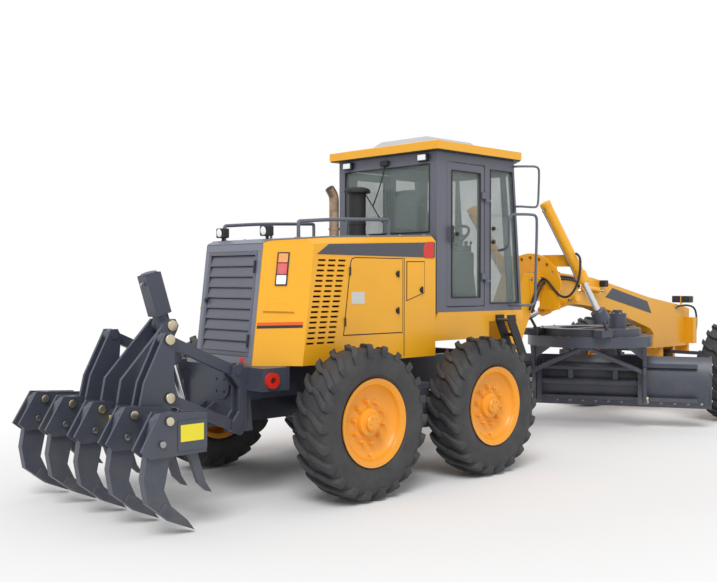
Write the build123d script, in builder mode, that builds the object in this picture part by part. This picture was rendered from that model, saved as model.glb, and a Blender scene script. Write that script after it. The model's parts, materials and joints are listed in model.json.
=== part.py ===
from build123d import *
from math import atan2, cos, degrees, hypot, pi, radians, sin, sqrt
import os

# Motor grader, in millimetres. +X is forward, +Y is left, +Z is up, and the origin lies on the
# ground below the middle of the two rear axles.

# Wheels
tyre_radius = 620.0
tyre_width = 340.0
tyre_carcass_radius = 582.0
wheel_facets = 24
lugs_per_side = wheel_facets // 2
rim_radius = 352.0
rim_well_radius = 326.0
rim_wall = 18.0
hub_radius = 112.0
spindle_radius = 50.0
running_gap = 0.05
wheel_track = 2020.0
rear_axle_spacing = 1536.0
front_axle_x = 5780.0
axle_height = tyre_radius

# Rear frame and hitch
rail_low = 800.0
rail_high = 1040.0
rail_inner = 330.0
rail_outer = 430.0
frame_rear = -1500.0
hitch_x = 2050.0
hitch_pin_radius = 45.0
hitch_lug_low = 730.0
hitch_lug_high = 950.0
hitch_plate = 40.0
hitch_gap = 10.0

# Hood
hood_low = 1060.0
hood_half_width = 680.0
hood_front = 490.0
hood_wall = 14.0
hood_rear_low = -1390.0
hood_rear_high = -1270.0
hood_eaves = 2045.0
hood_rear_half_width = 386.0
hood_corner_x = -1110.0
hood_top_rear = 2070.0
hood_top_front = 2145.0

# Cab
cab_rear = 540.0
cab_half_width = 650.0
cab_front_low = 1840.0
cab_front_high = 1700.0
cab_nose = 280.0
cab_nose_half_width = 330.0
cab_low = 1450.0
cab_high = 2940.0
cab_wall = 45.0
glass_thickness = 8.0
glass_inset = 16.0
door_rear = 680.0
door_front = 1245.0
door_low = 1495.0
door_high = 2850.0
door_gap = 8.0
door_thickness = 36.0
door_hinge_out = 14.0

# Gooseneck, saddle and lift cylinders
neck_half_width = 150.0
saddle_x = 2990.0
lift_trunnion_y = 500.0
lift_trunnion_z = 1965.0
lift_barrel_radius = 58.0
lift_rod_radius = 34.0
shift_trunnion = Vector(2985, -330, 1480)

# Drawbar, circle and blade
draw_ball_x = 5480.0
draw_ball_z = 1000.0
draw_ball_radius = 85.0
draw_limit = 13.0
lift_ball_back = 2224.0
lift_ball_side = 456.0
lift_ball_z = 1331.0
lift_ball_radius = 28.0
shift_ball_back = 2441.0
shift_ball_side = 530.0
shift_ball_z = 1270.0
shift_ball_radius = 23.0
circle_x = 3870.0
circle_y = -150.0
circle_radius = 720.0
circle_inner_radius = 590.0
circle_low = 985.0
circle_high = 1105.0
blade_angle = 28.0
blade_length = 3710.0
blade_height = 610.0
blade_shift_left = 470.0
blade_low = 235.0
blade_arc_radius = 430.0
blade_plate = 22.0
blade_back = 150.0
rail_bar = 44.0
tilt_pivot_z = 345.0
arm_span = 640.0

# Ripper
link_front_x = -1575.0
link_run = 630.0
link_rise = 275.0
upper_link_z = 1030.0
lower_link_z = 600.0
link_y = 385.0
link_width = 60.0
link_pin_radius = 32.0
shank_pitch = 446.0
shank_count = 5
tooth_pitch = 298.0
tooth_count = 7
beam_x = -2355.0
beam_z = 682.0
beam_depth = 240.0
beam_height = 205.0
beam_half_length = 960.0

# Worked out from the sizes above
wheel_y = wheel_track / 2
rear_axle_x = rear_axle_spacing / 2
draw_reach = hypot(draw_ball_x - circle_x, circle_y)
draw_yaw = degrees(atan2(-circle_y, draw_ball_x - circle_x))
draw_place = Location((draw_ball_x, 0, 0), (0, 0, draw_yaw))
blade_place = Location((circle_x, circle_y, 0), (0, 0, blade_angle))

os.makedirs("parts", exist_ok=True)


def write(piece, name, place=Location()):
    """Labels a finished piece, sets it in its place on the machine and writes it."""
    solid = piece.part.moved(place)
    solid.label = name
    export_step(solid, f"parts/{name}.step")


def block(x_low, x_high, y_low, y_high, z_low, z_high, mode=Mode.ADD):
    """A box between its limits."""
    with Locations(((x_low + x_high) / 2, (y_low + y_high) / 2, (z_low + z_high) / 2)):
        Box(x_high - x_low, y_high - y_low, z_high - z_low, mode=mode)


def outline_plate(plane, outline, thickness, mode=Mode.ADD, corner=0):
    """A plate of a given thickness from an outline of corners on a plane."""
    with BuildSketch(plane) as sketch:
        with BuildLine():
            Polyline(*outline, close=True)
        make_face()
        if corner:
            fillet(sketch.vertices(), corner)
    extrude(sketch.sketch, amount=thickness, mode=mode)


def side_plate(outline, y_low, y_high, mode=Mode.ADD, corner=0):
    """A plate seen from the side: corners in X and Z, between two places across the machine."""
    plane = Plane(origin=(0, y_high, 0), x_dir=(1, 0, 0), z_dir=(0, -1, 0))
    outline_plate(plane, outline, y_high - y_low, mode, corner)


def level_plate(outline, z_low, z_high, mode=Mode.ADD, corner=0):
    """A plate seen from above: corners in X and Y, between two heights."""
    outline_plate(Plane.XY.offset(z_low), outline, z_high - z_low, mode, corner)


def cross_plate(outline, x_low, x_high, mode=Mode.ADD, corner=0):
    """A plate seen from the front: corners in Y and Z, between two places along the machine."""
    outline_plate(Plane.YZ.offset(x_low), outline, x_high - x_low, mode, corner)


def bar(start, end, radius, mode=Mode.ADD, bore=0):
    """A round bar or tube between two points."""
    run = Vector(*end) - Vector(*start)
    with BuildSketch(Plane(origin=start, z_dir=run)) as section:
        Circle(radius)
        if bore:
            Circle(bore, mode=Mode.SUBTRACT)
    extrude(section.sketch, amount=run.length, mode=mode)


def square_bar(start, end, width, depth, mode=Mode.ADD):
    """A rectangular bar between two points: its width lies across the machine."""
    run = Vector(*end) - Vector(*start)
    with BuildSketch(Plane(origin=start, x_dir=(0, 1, 0), z_dir=run)) as section:
        Rectangle(width, depth)
    extrude(section.sketch, amount=run.length, mode=mode)


def cross_pin(x, z, y_low, y_high, radius, mode=Mode.ADD):
    """A round pin, boss or hole across the machine."""
    bar((x, y_low, z), (x, y_high, z), radius, mode)


def upright_pin(x, y, z_low, z_high, radius, mode=Mode.ADD):
    """A round pin, boss or hole that stands upright."""
    bar((x, y, z_low), (x, y, z_high), radius, mode)


def sided_pin(x, z, y_low, y_high, radius, sides=8):
    """A many-sided pin across the machine."""
    plane = Plane(origin=(x, y_low, z), x_dir=(1, 0, 0), z_dir=(0, 1, 0))
    with BuildSketch(plane) as section:
        RegularPolygon(radius, sides, major_radius=False)
    extrude(section.sketch, amount=y_high - y_low)


def swing_way(trunnion, ball, toward):
    """The way of a cylinder's swing pin: across the plane of its ball's travel, to one side."""
    down = radians(-draw_limit)
    run = ball - Vector(0, 0, draw_ball_z)
    low = Vector(
        run.X * cos(down) + run.Z * sin(down),
        run.Y,
        draw_ball_z - run.X * sin(down) + run.Z * cos(down),
    )
    at_rest = (draw_place * Location(tuple(ball))).position - trunnion
    lowered = (draw_place * Location(tuple(low))).position - trunnion
    way = at_rest.cross(lowered).normalized()
    return way if way.dot(toward) > 0 else way * -1


# Tyre: a faceted carcass with slanted lugs, one to a facet
half_tyre = tyre_width / 2
lug_reach = 62.0
lug_top = sqrt(tyre_radius**2 - lug_reach**2)
lug_root = tyre_carcass_radius - 26
lug_side = half_tyre - 24
# columns: place along the tread, place across the tread
lug_outline = ((-48, 8), (-12, 8), (lug_reach, lug_side), (lug_reach - 48, lug_side))
bottom_phase = -90.0 - degrees(atan2(lug_reach, lug_top))
facet_turn = 90.0 - bottom_phase - 180.0 / wheel_facets
shoulder_across = 20.0
shoulder_down = 70.0
bead_across = 50.0
bead_down = 114.0


def facet_drum(y_low, y_high, radius, mode=Mode.ADD):
    """A many-sided drum about the wheel's axis."""
    plane = Plane(origin=(0, y_low, 0), x_dir=(1, 0, 0), z_dir=(0, 1, 0))
    with BuildSketch(plane) as section:
        RegularPolygon(radius, wheel_facets, major_radius=False, rotation=facet_turn)
    extrude(section.sketch, amount=y_high - y_low, mode=mode)


with BuildPart() as tyre:
    facet_drum(-half_tyre, half_tyre, tyre_carcass_radius)
    for end in (0, -1):
        side_face = tyre.faces().sort_by(Axis.Y)[end]
        chamfer(side_face.edges(), shoulder_down, shoulder_across, reference=side_face)
    for side in (-1, 1):
        for turn in range(lugs_per_side):
            angle = bottom_phase + (turn + (0.5 if side < 0 else 0)) * 360.0 / lugs_per_side
            outward = Vector(cos(radians(angle)), 0, sin(radians(angle)))
            along = Vector(-sin(radians(angle)), 0, cos(radians(angle)))
            plane = Plane(origin=outward * lug_root, x_dir=along, z_dir=outward)
            flip = side if plane.y_dir.Y > 0 else -side
            outline_plate(plane, [(u, v * flip) for u, v in lug_outline], lug_top - lug_root)
    facet_drum(-half_tyre - 1, half_tyre + 1, rim_well_radius, Mode.SUBTRACT)
    for end in (0, -1):
        side_face = tyre.faces().sort_by(Axis.Y)[end]
        bead = side_face.inner_wires()[0].edges()
        chamfer(bead, bead_down, bead_across, reference=side_face)

# Rim: a faceted well with flanges, a dished disc and a round hub; the outside is at +Y
flange_y = half_tyre - 34.0
flange_plate = 14.0
disc_y = 40.0
disc_plate = 16.0
dish_depth = 44.0
dish_radius = 250.0
barrel_radius = rim_well_radius - rim_wall
with BuildPart() as rim:
    facet_drum(-flange_y, flange_y, rim_well_radius - 0.3)
    facet_drum(-flange_y - flange_plate, -flange_y, rim_radius)
    facet_drum(flange_y, flange_y + flange_plate, rim_radius)
    facet_drum(-flange_y - flange_plate - 1, disc_y, barrel_radius, Mode.SUBTRACT)
    facet_drum(disc_y + disc_plate, disc_y + disc_plate + dish_depth, dish_radius, Mode.SUBTRACT)
    facet_drum(disc_y + disc_plate + dish_depth, flange_y + flange_plate + 1, barrel_radius, Mode.SUBTRACT)
    bar((0, -60, 0), (0, disc_y + 60, 0), hub_radius)
    bar((0, disc_y + 60, 0), (0, flange_y, 0), hub_radius - 38)
    bar((0, -60, 0), (0, disc_y + 20, 0), spindle_radius + running_gap, Mode.SUBTRACT)

# columns: name, place along, place across, side
wheels = (
    ("rear_left", -rear_axle_x, wheel_y, 1),
    ("rear_right", -rear_axle_x, -wheel_y, -1),
    ("middle_left", rear_axle_x, wheel_y, 1),
    ("middle_right", rear_axle_x, -wheel_y, -1),
    ("front_left", front_axle_x, wheel_y, 1),
    ("front_right", front_axle_x, -wheel_y, -1),
)
for name, x, y, side in wheels:
    place = Location((x, y, axle_height), (0, 0, 0 if side > 0 else 180))
    write(tyre, f"tyre_{name}", place)
    write(rim, f"rim_{name}", place)

# Rear axle: the differential, its tubes, the two tandem cases and their spindles
case_inner = 600.0
case_outer = 790.0
case_radius = 175.0
drum_radius = 190.0
drum_outer = wheel_y - 60 - 8.0
with BuildPart() as rear_axle:
    cross_pin(0, axle_height, -case_inner, case_inner, 115)
    cross_pin(0, axle_height, -150, 150, 240)
    for side in (-1, 1):
        low, high = sorted((side * case_inner, side * case_outer))
        with BuildSketch(Plane(origin=(0, high, axle_height), x_dir=(1, 0, 0), z_dir=(0, -1, 0))) as case:
            SlotCenterToCenter(rear_axle_spacing, 2 * case_radius)
            Circle(case_radius + 35)
        extrude(case.sketch, amount=high - low)
        for x in (-rear_axle_x, rear_axle_x):
            drum = sorted((side * case_outer, side * drum_outer))
            cross_pin(x, axle_height, drum[0], drum[1], drum_radius)
            tip = sorted((side * drum_outer, side * (wheel_y + 50)))
            cross_pin(x, axle_height, tip[0], tip[1], spindle_radius)
        pad = sorted((side * rail_inner, side * rail_outer))
        block(-120, 120, pad[0], pad[1], axle_height + 60, rail_low)
write(rear_axle, "rear_axle")

# Rear frame: rails, cross members, hitch clevis, bumper box and the plates that carry the ripper
web_half = 230.0
clevis_low = hitch_lug_low - hitch_gap - hitch_plate
clevis_high = hitch_lug_high + hitch_gap + hitch_plate
bumper_front = -1230.0
bumper_low = 880.0
ripper_plate_out = 445.0
ripper_plate_in = 325.0
ripper_plate = 25.0
with BuildPart() as rear_frame:
    for side in (-1, 1):
        rail = sorted((side * rail_inner, side * rail_outer))
        block(frame_rear, 1560, rail[0], rail[1], rail_low, rail_high)
        block(600, 760, rail[0], rail[1], rail_high, cab_low - 25)
        block(1380, 1560, rail[0], rail[1], rail_high, cab_low - 25)
        web = sorted((side * (web_half - 30), side * web_half))
        block(1500, 1880, web[0], web[1], clevis_low, clevis_high)
    block(1500, 1560, -rail_outer, rail_outer, clevis_low, rail_high)
    block(-640, -560, -rail_inner, rail_inner, rail_low, rail_high)
    block(500, 580, -rail_inner, rail_inner, rail_low, rail_high)
    for low in (clevis_low, clevis_high - hitch_plate):
        level_plate(
            (
                (1500, -web_half),
                (1880, -web_half),
                (hitch_x, -120),
                (hitch_x, 120),
                (1880, web_half),
                (1500, web_half),
            ),
            low,
            low + hitch_plate,
        )
        upright_pin(hitch_x, 0, low, low + hitch_plate, 120)
    upright_pin(hitch_x, 0, clevis_low - 20, clevis_high + 25, hitch_pin_radius)
    block(frame_rear, bumper_front, -660, 660, bumper_low, hood_low)
    block(frame_rear - 20, frame_rear, -460, 460, 560, hood_low)
    cross_plate(((-460, 560), (460, 560), (430, rail_low), (-430, rail_low)), frame_rear, -1440)
    for side in (-1, 1):
        for inner in (ripper_plate_in, ripper_plate_out - ripper_plate):
            plate = sorted((side * inner, side * (inner + ripper_plate)))
            side_plate(
                (
                    (frame_rear - 20, 545),
                    (link_front_x + 30, 530),
                    (link_front_x - 45, 560),
                    (link_front_x - 45, 640),
                    (link_front_x + 20, 720),
                    (link_front_x + 20, 900),
                    (link_front_x - 50, 990),
                    (link_front_x - 50, 1075),
                    (frame_rear - 20, 1090),
                ),
                plate[0],
                plate[1],
            )
        for z in (upper_link_z, lower_link_z):
            pin = sorted((side * (ripper_plate_in - 8), side * (ripper_plate_out + 8)))
            cross_pin(link_front_x, z, pin[0], pin[1], link_pin_radius)
    for y in (-75, 50):
        side_plate(
            ((frame_rear - 20, 560), (-1700, 560), (-1745, 600), (-1700, 650), (frame_rear - 20, 760)),
            y,
            y + 25,
        )
    bar((frame_rear - 20, -170, 900), (frame_rear - 40, -170, 900), 110)
    for angle in (45, 135, 225, 315):
        y = -170 + 70 * cos(radians(angle))
        z = 900 + 70 * sin(radians(angle))
        bar((frame_rear - 41, y, z), (frame_rear - 30, y, z), 11, Mode.SUBTRACT)
write(rear_frame, "rear_frame")

# Red lashing lugs on the bumper box
lug_eye_x = -1420.0
lug_eye_z = 965.0
lug_eye_radius = 26.0
lug_plate = 34.0
with BuildPart() as lashing_lugs:
    for side in (-1, 1):
        face = sorted((side * 660, side * (660 + lug_plate)))
        cross_pin(lug_eye_x, lug_eye_z, face[0], face[1], 62)
        cross_pin(lug_eye_x, lug_eye_z, face[0] - 1, face[1] + 1, lug_eye_radius, Mode.SUBTRACT)
write(lashing_lugs, "lashing_lugs")

# Engine: one plain mass inside the hood, on the rails
with BuildPart() as engine:
    block(-1150, 150, -rail_inner - 70, rail_inner + 70, rail_high, 1780)
write(engine, "engine")

# Hood: a tapered shell with side louvres and an open rear face
hood_rear_slope = (hood_rear_high - hood_rear_low) / (hood_eaves - hood_low)


def deck_at(x):
    """The height of the hood's top at one place along it."""
    rise = (hood_top_front - hood_top_rear - 25) / (hood_front + 800)
    return hood_top_rear + 25 + rise * (x + 800)


def hood_plan(z, inset=0.0):
    """The hood seen from above at one height, with its corners cut off towards the rear."""
    rear = hood_rear_low + hood_rear_slope * (z - hood_low) + inset
    side = hood_half_width - inset
    rear_side = hood_rear_half_width - inset * 0.4
    corner = hood_corner_x + hood_rear_slope * (z - hood_low)
    front = hood_front - inset
    return (
        (rear, -rear_side),
        (corner, -side),
        (front, -side),
        (front, side),
        (corner, side),
        (rear, rear_side),
    )


def hood_body(z_low, z_high, inset=0.0, mode=Mode.ADD):
    """The hood's tapered prism between two heights."""
    sections = []
    for z in (z_low, z_high):
        with BuildSketch(Plane.XY.offset(z)) as section:
            with BuildLine():
                Polyline(*hood_plan(z, inset), close=True)
            make_face()
        sections.append(section.sketch)
    loft(sections, ruled=True, mode=mode)


louvre_pitch = 42.0
louvre_rows = 17
louvre_columns = 3
louvre_low_z = 1235.0
louvre_low_x = -1070.0
louvre_step = 112.0
louvre_lean = 0.19
rear_face_mid = (hood_low + hood_eaves) / 2
rear_face_x = (hood_rear_low + hood_rear_high) / 2
rear_up = Vector(hood_rear_high - hood_rear_low, 0, hood_eaves - hood_low).normalized()
rear_out = Vector(-rear_up.Z, 0, rear_up.X)
rear_plane = Plane(origin=(rear_face_x, 0, rear_face_mid), x_dir=(0, -1, 0), z_dir=rear_out)
rear_opening_half = 330.0
rear_opening_height = 860.0
with BuildPart() as hood:
    hood_body(hood_low, hood_eaves)
    side_plate(
        (
            (hood_rear_high, hood_eaves),
            (hood_front, hood_eaves),
            (hood_front, hood_top_front),
            (-800, hood_top_rear + 25),
            (hood_rear_high + 60, hood_top_rear - 5),
        ),
        -hood_half_width,
        hood_half_width,
    )
    top_edges = hood.edges().filter_by(lambda e: abs(abs(e.center().Y) - hood_half_width) < 1)
    chamfer(top_edges.filter_by(lambda e: e.center().Z > hood_eaves + 20 and e.length > 1000), 45)
    for side in (-1, 1):
        level_plate(
            (
                (hood_rear_high - 40, side * (hood_rear_half_width - 20)),
                (hood_rear_high - 40, side * (hood_half_width + 10)),
                (hood_corner_x + hood_rear_slope * (hood_eaves - hood_low), side * (hood_half_width + 10)),
                (hood_corner_x + hood_rear_slope * (hood_eaves - hood_low), side * hood_half_width),
                (hood_rear_high, side * (hood_rear_half_width - 3)),
            ),
            hood_eaves,
            hood_top_front,
            Mode.SUBTRACT,
        )
    hood_body(hood_low - 1, hood_eaves - hood_wall, hood_wall, Mode.SUBTRACT)
    with BuildSketch(rear_plane) as opening:
        Rectangle(2 * rear_opening_half, rear_opening_height)
    extrude(opening.sketch, amount=60, both=True, mode=Mode.SUBTRACT)
    with BuildSketch(Plane(origin=(0, hood_half_width + 5, 0), x_dir=(1, 0, 0), z_dir=(0, -1, 0))) as louvres:
        for row in range(louvre_rows):
            for column in range(louvre_columns):
                z = louvre_low_z + row * louvre_pitch
                x = louvre_low_x + column * louvre_step + row * louvre_pitch * louvre_lean
                with Locations((x + 40, z)):
                    Rectangle(84, 16)
    extrude(louvres.sketch, amount=2 * hood_half_width + 10, mode=Mode.SUBTRACT)
write(hood, "hood")

# Grey cover plate on top of the hood
with BuildPart() as hood_top:
    side_plate(
        (
            (-790, deck_at(-790)),
            (hood_front, deck_at(hood_front)),
            (hood_front, deck_at(hood_front) + 14),
            (-790, deck_at(-790) + 14),
        ),
        -540,
        540,
    )
write(hood_top, "hood_top")

# Rear grille: a frame with tilted slats across the hood's rear opening
slat_count = 8
with BuildPart() as grille:
    with BuildSketch(rear_plane.offset(-30)) as surround:
        Rectangle(2 * rear_opening_half, rear_opening_height)
        Rectangle(2 * rear_opening_half - 90, rear_opening_height - 90, mode=Mode.SUBTRACT)
    extrude(surround.sketch, amount=44)
    for slat in range(slat_count):
        up = (slat - (slat_count - 1) / 2) * (rear_opening_height - 110) / slat_count
        middle = Vector(rear_face_x, 0, rear_face_mid) + rear_up * up - rear_out * 14
        slat_plane = Plane(origin=middle, x_dir=(0, -1, 0), z_dir=rear_out.rotate(Axis.Y, -40))
        with BuildSketch(slat_plane) as blade_shape:
            Rectangle(2 * rear_opening_half - 80, 62)
        extrude(blade_shape.sketch, amount=5, both=True)
write(grille, "grille")

# Tail lamps on the slanted corners and work lamps on the rear edge of the hood
corner_foot = Vector(hood_rear_low, hood_rear_half_width, hood_low)
corner_run = Vector(hood_corner_x - hood_rear_low, hood_half_width - hood_rear_half_width, 0)
tail_lamp_up = 780.0
tail_lamp_height = 270.0
tail_lamp_width = 80.0
with BuildPart() as rear_lamps:
    for side in (-1, 1):
        run = Vector(corner_run.X, side * corner_run.Y, 0)
        out = rear_up.cross(run) * (1 if side > 0 else -1)
        origin = Vector(corner_foot.X, side * corner_foot.Y, corner_foot.Z) + rear_up * tail_lamp_up
        lamp_plane = Plane(origin=origin + run * 0.42, x_dir=run, z_dir=out)
        with BuildSketch(lamp_plane) as lamp_face:
            Rectangle(tail_lamp_width, tail_lamp_height)
        extrude(lamp_face.sketch, amount=18)
        upright_pin(-1170, side * 300, 2040, 2105, 18)
        block(-1215, -1135, side * 300 - 55, side * 300 + 55, 2105, 2190)
    add(hood.part, mode=Mode.SUBTRACT)
write(rear_lamps, "rear_lamps")

# Exhaust stack with its turned top, and the air intake with its bowl
exhaust_x = -45.0
exhaust_y = 100.0
intake_x = 350.0
intake_y = 200.0
with BuildPart() as stacks:
    upright_pin(exhaust_x, exhaust_y, deck_at(exhaust_x) - 20, 2500, 48)
    bar((exhaust_x, exhaust_y, 2470), (exhaust_x - 70, exhaust_y, 2600), 50)
    upright_pin(intake_x, intake_y, deck_at(intake_x) - 20, 2580, 85)
    upright_pin(intake_x, intake_y, 2580, 2640, 128)
    add(hood_top.part, mode=Mode.SUBTRACT)
    add(hood.part, mode=Mode.SUBTRACT)
write(stacks, "stacks")

# Cab base with the cut-out for the ladders
base_low = 1190.0
ladder_x = 1300.0
with BuildPart() as cab_base:
    side_plate(
        (
            (500, base_low),
            (ladder_x, base_low),
            (ladder_x, cab_low - 100),
            (1850, cab_low - 100),
            (1850, cab_low),
            (560, cab_low),
            (500, cab_low - 80),
        ),
        -cab_half_width - 10,
        cab_half_width + 10,
    )
    level_plate(
        (
            (1850, -cab_half_width - 10),
            (cab_front_low + cab_nose, -cab_nose_half_width),
            (cab_front_low + cab_nose, cab_nose_half_width),
            (1850, cab_half_width + 10),
        ),
        cab_low - 60,
        cab_low,
    )
    block(520, 1840, -cab_half_width + 20, cab_half_width - 20, base_low - 1, cab_low - 25, Mode.SUBTRACT)
write(cab_base, "cab_base")


def cab_plan(front, inset):
    """The cab seen from above, with its slanted front corners."""
    turn = inset * 0.42
    return (
        (cab_rear + inset, -cab_half_width + inset),
        (front - turn, -cab_half_width + inset),
        (front + cab_nose - inset, -cab_nose_half_width + turn * 0.6),
        (front + cab_nose - inset, cab_nose_half_width - turn * 0.6),
        (front - turn, cab_half_width - inset),
        (cab_rear + inset, cab_half_width - inset),
    )


def cab_front_at(z):
    """The front edge of the cab's side at one height."""
    share = (z - cab_low) / (cab_high - cab_low)
    return cab_front_low + (cab_front_high - cab_front_low) * share


def cab_body(inset, z_low, z_high, mode=Mode.ADD):
    """The cab's leaning prism between two heights."""
    sections = []
    for z in (z_low, z_high):
        with BuildSketch(Plane.XY.offset(z)) as section:
            with BuildLine():
                Polyline(*cab_plan(cab_front_at(z), inset), close=True)
            make_face()
        sections.append(section.sketch)
    loft(sections, ruled=True, mode=mode)


# Cutters for the cab's windows: rear, sides, slanted front corners and windscreen
hinge_heights = (door_low + 260, door_high - 320)
hinge_pin_radius = 12.0
pin_y = cab_half_width + door_hinge_out
window_low = 1520.0
window_high = 2820.0
with BuildPart() as windows:
    block(cab_rear - 60, cab_rear + 60, -560, 560, 2190, window_high)
    for side in (-1, 1):
        face = sorted((side * (cab_half_width - 80), side * (cab_half_width + 20)))
        side_plate(
            (
                (1325, window_low),
                (cab_front_at(window_low) - 40, window_low),
                (cab_front_at(window_high) - 40, window_high),
                (1325, window_high),
            ),
            face[0],
            face[1],
        )
    block(1760, 2240, -cab_nose_half_width + 40, cab_nose_half_width - 40, window_low, window_high)
    for side in (-1, 1):
        nose_turn = degrees(atan2(cab_nose, cab_half_width - cab_nose_half_width))
        middle_y = side * (cab_half_width + cab_nose_half_width) / 2
        middle_x = cab_front_at(2170) + cab_nose / 2
        with Locations(Location((middle_x, middle_y, 2170), (0, 0, side * (90 - nose_turn)))):
            Box(500, 300, window_high - window_low)

with BuildPart() as cab_frame:
    cab_body(0, cab_low, cab_high)
    cab_body(cab_wall, cab_low - 1, cab_high + 1, Mode.SUBTRACT)
    add(windows.part, mode=Mode.SUBTRACT)
    for side in (-1, 1):
        face = sorted((side * (cab_half_width - 80), side * (cab_half_width + 20)))
        block(door_rear, door_front, face[0], face[1], door_low, door_high, Mode.SUBTRACT)
    level_plate(cab_plan(cab_front_at(cab_low), cab_wall - 5), cab_low, cab_low + 20)
    for side in (-1, 1):
        half = sorted((side * cab_half_width, side * (pin_y + 14)))
        for z in hinge_heights:
            block(door_front - 14, door_front + 60, half[0], half[1], z - 28, z - 4)
            upright_pin(
                door_front, side * pin_y, z - 29, z - 3, hinge_pin_radius + running_gap, Mode.SUBTRACT
            )
write(cab_frame, "cab_frame")

with BuildPart() as cab_glass:
    cab_body(glass_inset, window_low - 40, window_high + 40)
    cab_body(glass_inset + glass_thickness, window_low - 41, window_high + 41, Mode.SUBTRACT)
    add(windows.part, mode=Mode.INTERSECT)
write(cab_glass, "cab_glass")

# Roof with a tapered top, and the unit on it
roof_over = 70.0


def roof_plan(over):
    """The roof seen from above."""
    front = cab_front_high
    return (
        (cab_rear - over, -cab_half_width - over),
        (front + over * 0.5, -cab_half_width - over),
        (front + cab_nose + over, -cab_nose_half_width - over * 0.4),
        (front + cab_nose + over, cab_nose_half_width + over * 0.4),
        (front + over * 0.5, cab_half_width + over),
        (cab_rear - over, cab_half_width + over),
    )


with BuildPart() as cab_roof:
    level_plate(roof_plan(roof_over), cab_high, cab_high + 75)
    roof_sections = []
    for over, z in ((roof_over, cab_high + 75), (-110, cab_high + 115)):
        with BuildSketch(Plane.XY.offset(z)) as section:
            with BuildLine():
                Polyline(*roof_plan(over), close=True)
            make_face()
        roof_sections.append(section.sketch)
    loft(roof_sections, ruled=True)
write(cab_roof, "cab_roof")

with BuildPart() as roof_unit:
    with BuildSketch(Plane.XY.offset(cab_high + 115)) as unit_low:
        with Locations((1120, 0)):
            Rectangle(820, 760)
    with BuildSketch(Plane.XY.offset(cab_high + 185)) as unit_high:
        with Locations((1120, 0)):
            Rectangle(660, 600)
    loft([unit_low.sketch, unit_high.sketch], ruled=True)
write(roof_unit, "roof_unit")

# Seat, side consoles and steering column inside the cab
floor_z = cab_low + 20
with BuildPart() as cab_interior:
    block(870, 1270, -230, 230, floor_z, floor_z + 60)
    block(930, 1210, -170, 170, floor_z + 60, floor_z + 300)
    block(850, 1330, -250, 250, floor_z + 300, floor_z + 430)
    side_plate(
        (
            (850, floor_z + 430),
            (980, floor_z + 430),
            (900, floor_z + 1030),
            (790, floor_z + 1030),
        ),
        -230,
        230,
    )
    side_plate(
        (
            (1640, floor_z),
            (1820, floor_z),
            (1700, floor_z + 640),
            (1600, floor_z + 620),
        ),
        -110,
        110,
    )
    bar((1650, 0, floor_z + 610), (1560, 0, floor_z + 720), 25)
    bar((1560, 0, floor_z + 720), (1541, 0, floor_z + 743), 190)
    for side in (-1, 1):
        arm = sorted((side * 290, side * 380))
        block(980, 1420, arm[0], arm[1], floor_z, floor_z + 560)
write(cab_interior, "cab_interior")

# Doors, hinged at their front edges
door_mid_z = (door_low + door_high) / 2
for side_name, side in (("left", 1), ("right", -1)):
    outer = side * (cab_half_width - 4)
    inner = side * (cab_half_width - 4 - door_thickness)
    face = sorted((outer, inner))
    with BuildPart() as door:
        block(
            door_rear + door_gap,
            door_front - door_gap,
            face[0],
            face[1],
            door_low + door_gap,
            door_high - door_gap,
        )
        block(
            door_rear + 75,
            door_front - 70,
            face[0] - 1,
            face[1] + 1,
            door_low + 90,
            door_high - 80,
            Mode.SUBTRACT,
        )
        for z in hinge_heights:
            upright_pin(door_front, side * pin_y, z - 30, z + 60, hinge_pin_radius)
            level_plate(
                (
                    (door_front - 60, outer),
                    (door_front - 14, outer),
                    (door_front, outer + side * 8),
                    (door_front, side * (pin_y + 8)),
                    (door_front - 60, side * (pin_y + 4)),
                ),
                z,
                z + 60,
            )
        handle = sorted((outer, side * (cab_half_width + 30)))
        block(door_rear + 25, door_rear + 50, handle[0], handle[1], door_mid_z - 70, door_mid_z + 70)
    write(door, f"door_{side_name}")
    middle = (outer + inner) / 2
    with BuildPart() as door_glass:
        block(
            door_rear + 75,
            door_front - 70,
            middle - glass_thickness / 2,
            middle + glass_thickness / 2,
            door_low + 90,
            door_high - 80,
        )
    write(door_glass, f"door_glass_{side_name}")

# Ladders: two rubber straps a side with treads between them
with BuildPart() as ladders:
    for side in (-1, 1):
        for y in (cab_half_width + 10, cab_half_width + 150):
            strap = sorted((side * y, side * (y + 16)))
            side_plate(
                ((1400, 1410), (1520, 1410), (1520, 1350), (1740, 950), (1620, 950), (1400, 1350)),
                strap[0],
                strap[1],
            )
        tread = sorted((side * (cab_half_width + 26), side * (cab_half_width + 150)))
        for z, x in ((1200, 1510), (975, 1634)):
            block(x, x + 110, tread[0], tread[1], z, z + 22)
        bridge = sorted((side * (cab_half_width + 26), side * (cab_half_width + 166)))
        block(1390, 1530, bridge[0], bridge[1], 1350, 1366)
write(ladders, "ladders")

# Handrails: along the hood, beside the cab's front pillars, and the mirror brackets
rail_radius = 16.0
with BuildPart() as handrails:
    for side in (-1, 1):
        y = side * 500
        bar((-1000, y, 2225), (60, y, 2285), rail_radius)
        bar((-1000, y, 2090), (-1000, y, 2241), rail_radius)
        bar((60, y, 2135), (60, y, 2301), rail_radius)
        pillar = side * (cab_half_width + 16)
        out = side * (cab_half_width + 130)
        for z in (1560, 2420):
            x = cab_front_at(z) - 20
            bar((x, side * (cab_half_width - 2), z), (x + 120, out, z), 14)
        low = (cab_front_at(1560) + 100, out, 1546)
        high = (cab_front_at(2420) + 100, out, 2434)
        bar(low, high, 14)
    add(hood_top.part, mode=Mode.SUBTRACT)
    add(hood.part, mode=Mode.SUBTRACT)
    add(cab_frame.part, mode=Mode.SUBTRACT)
write(handrails, "handrails")

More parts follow.
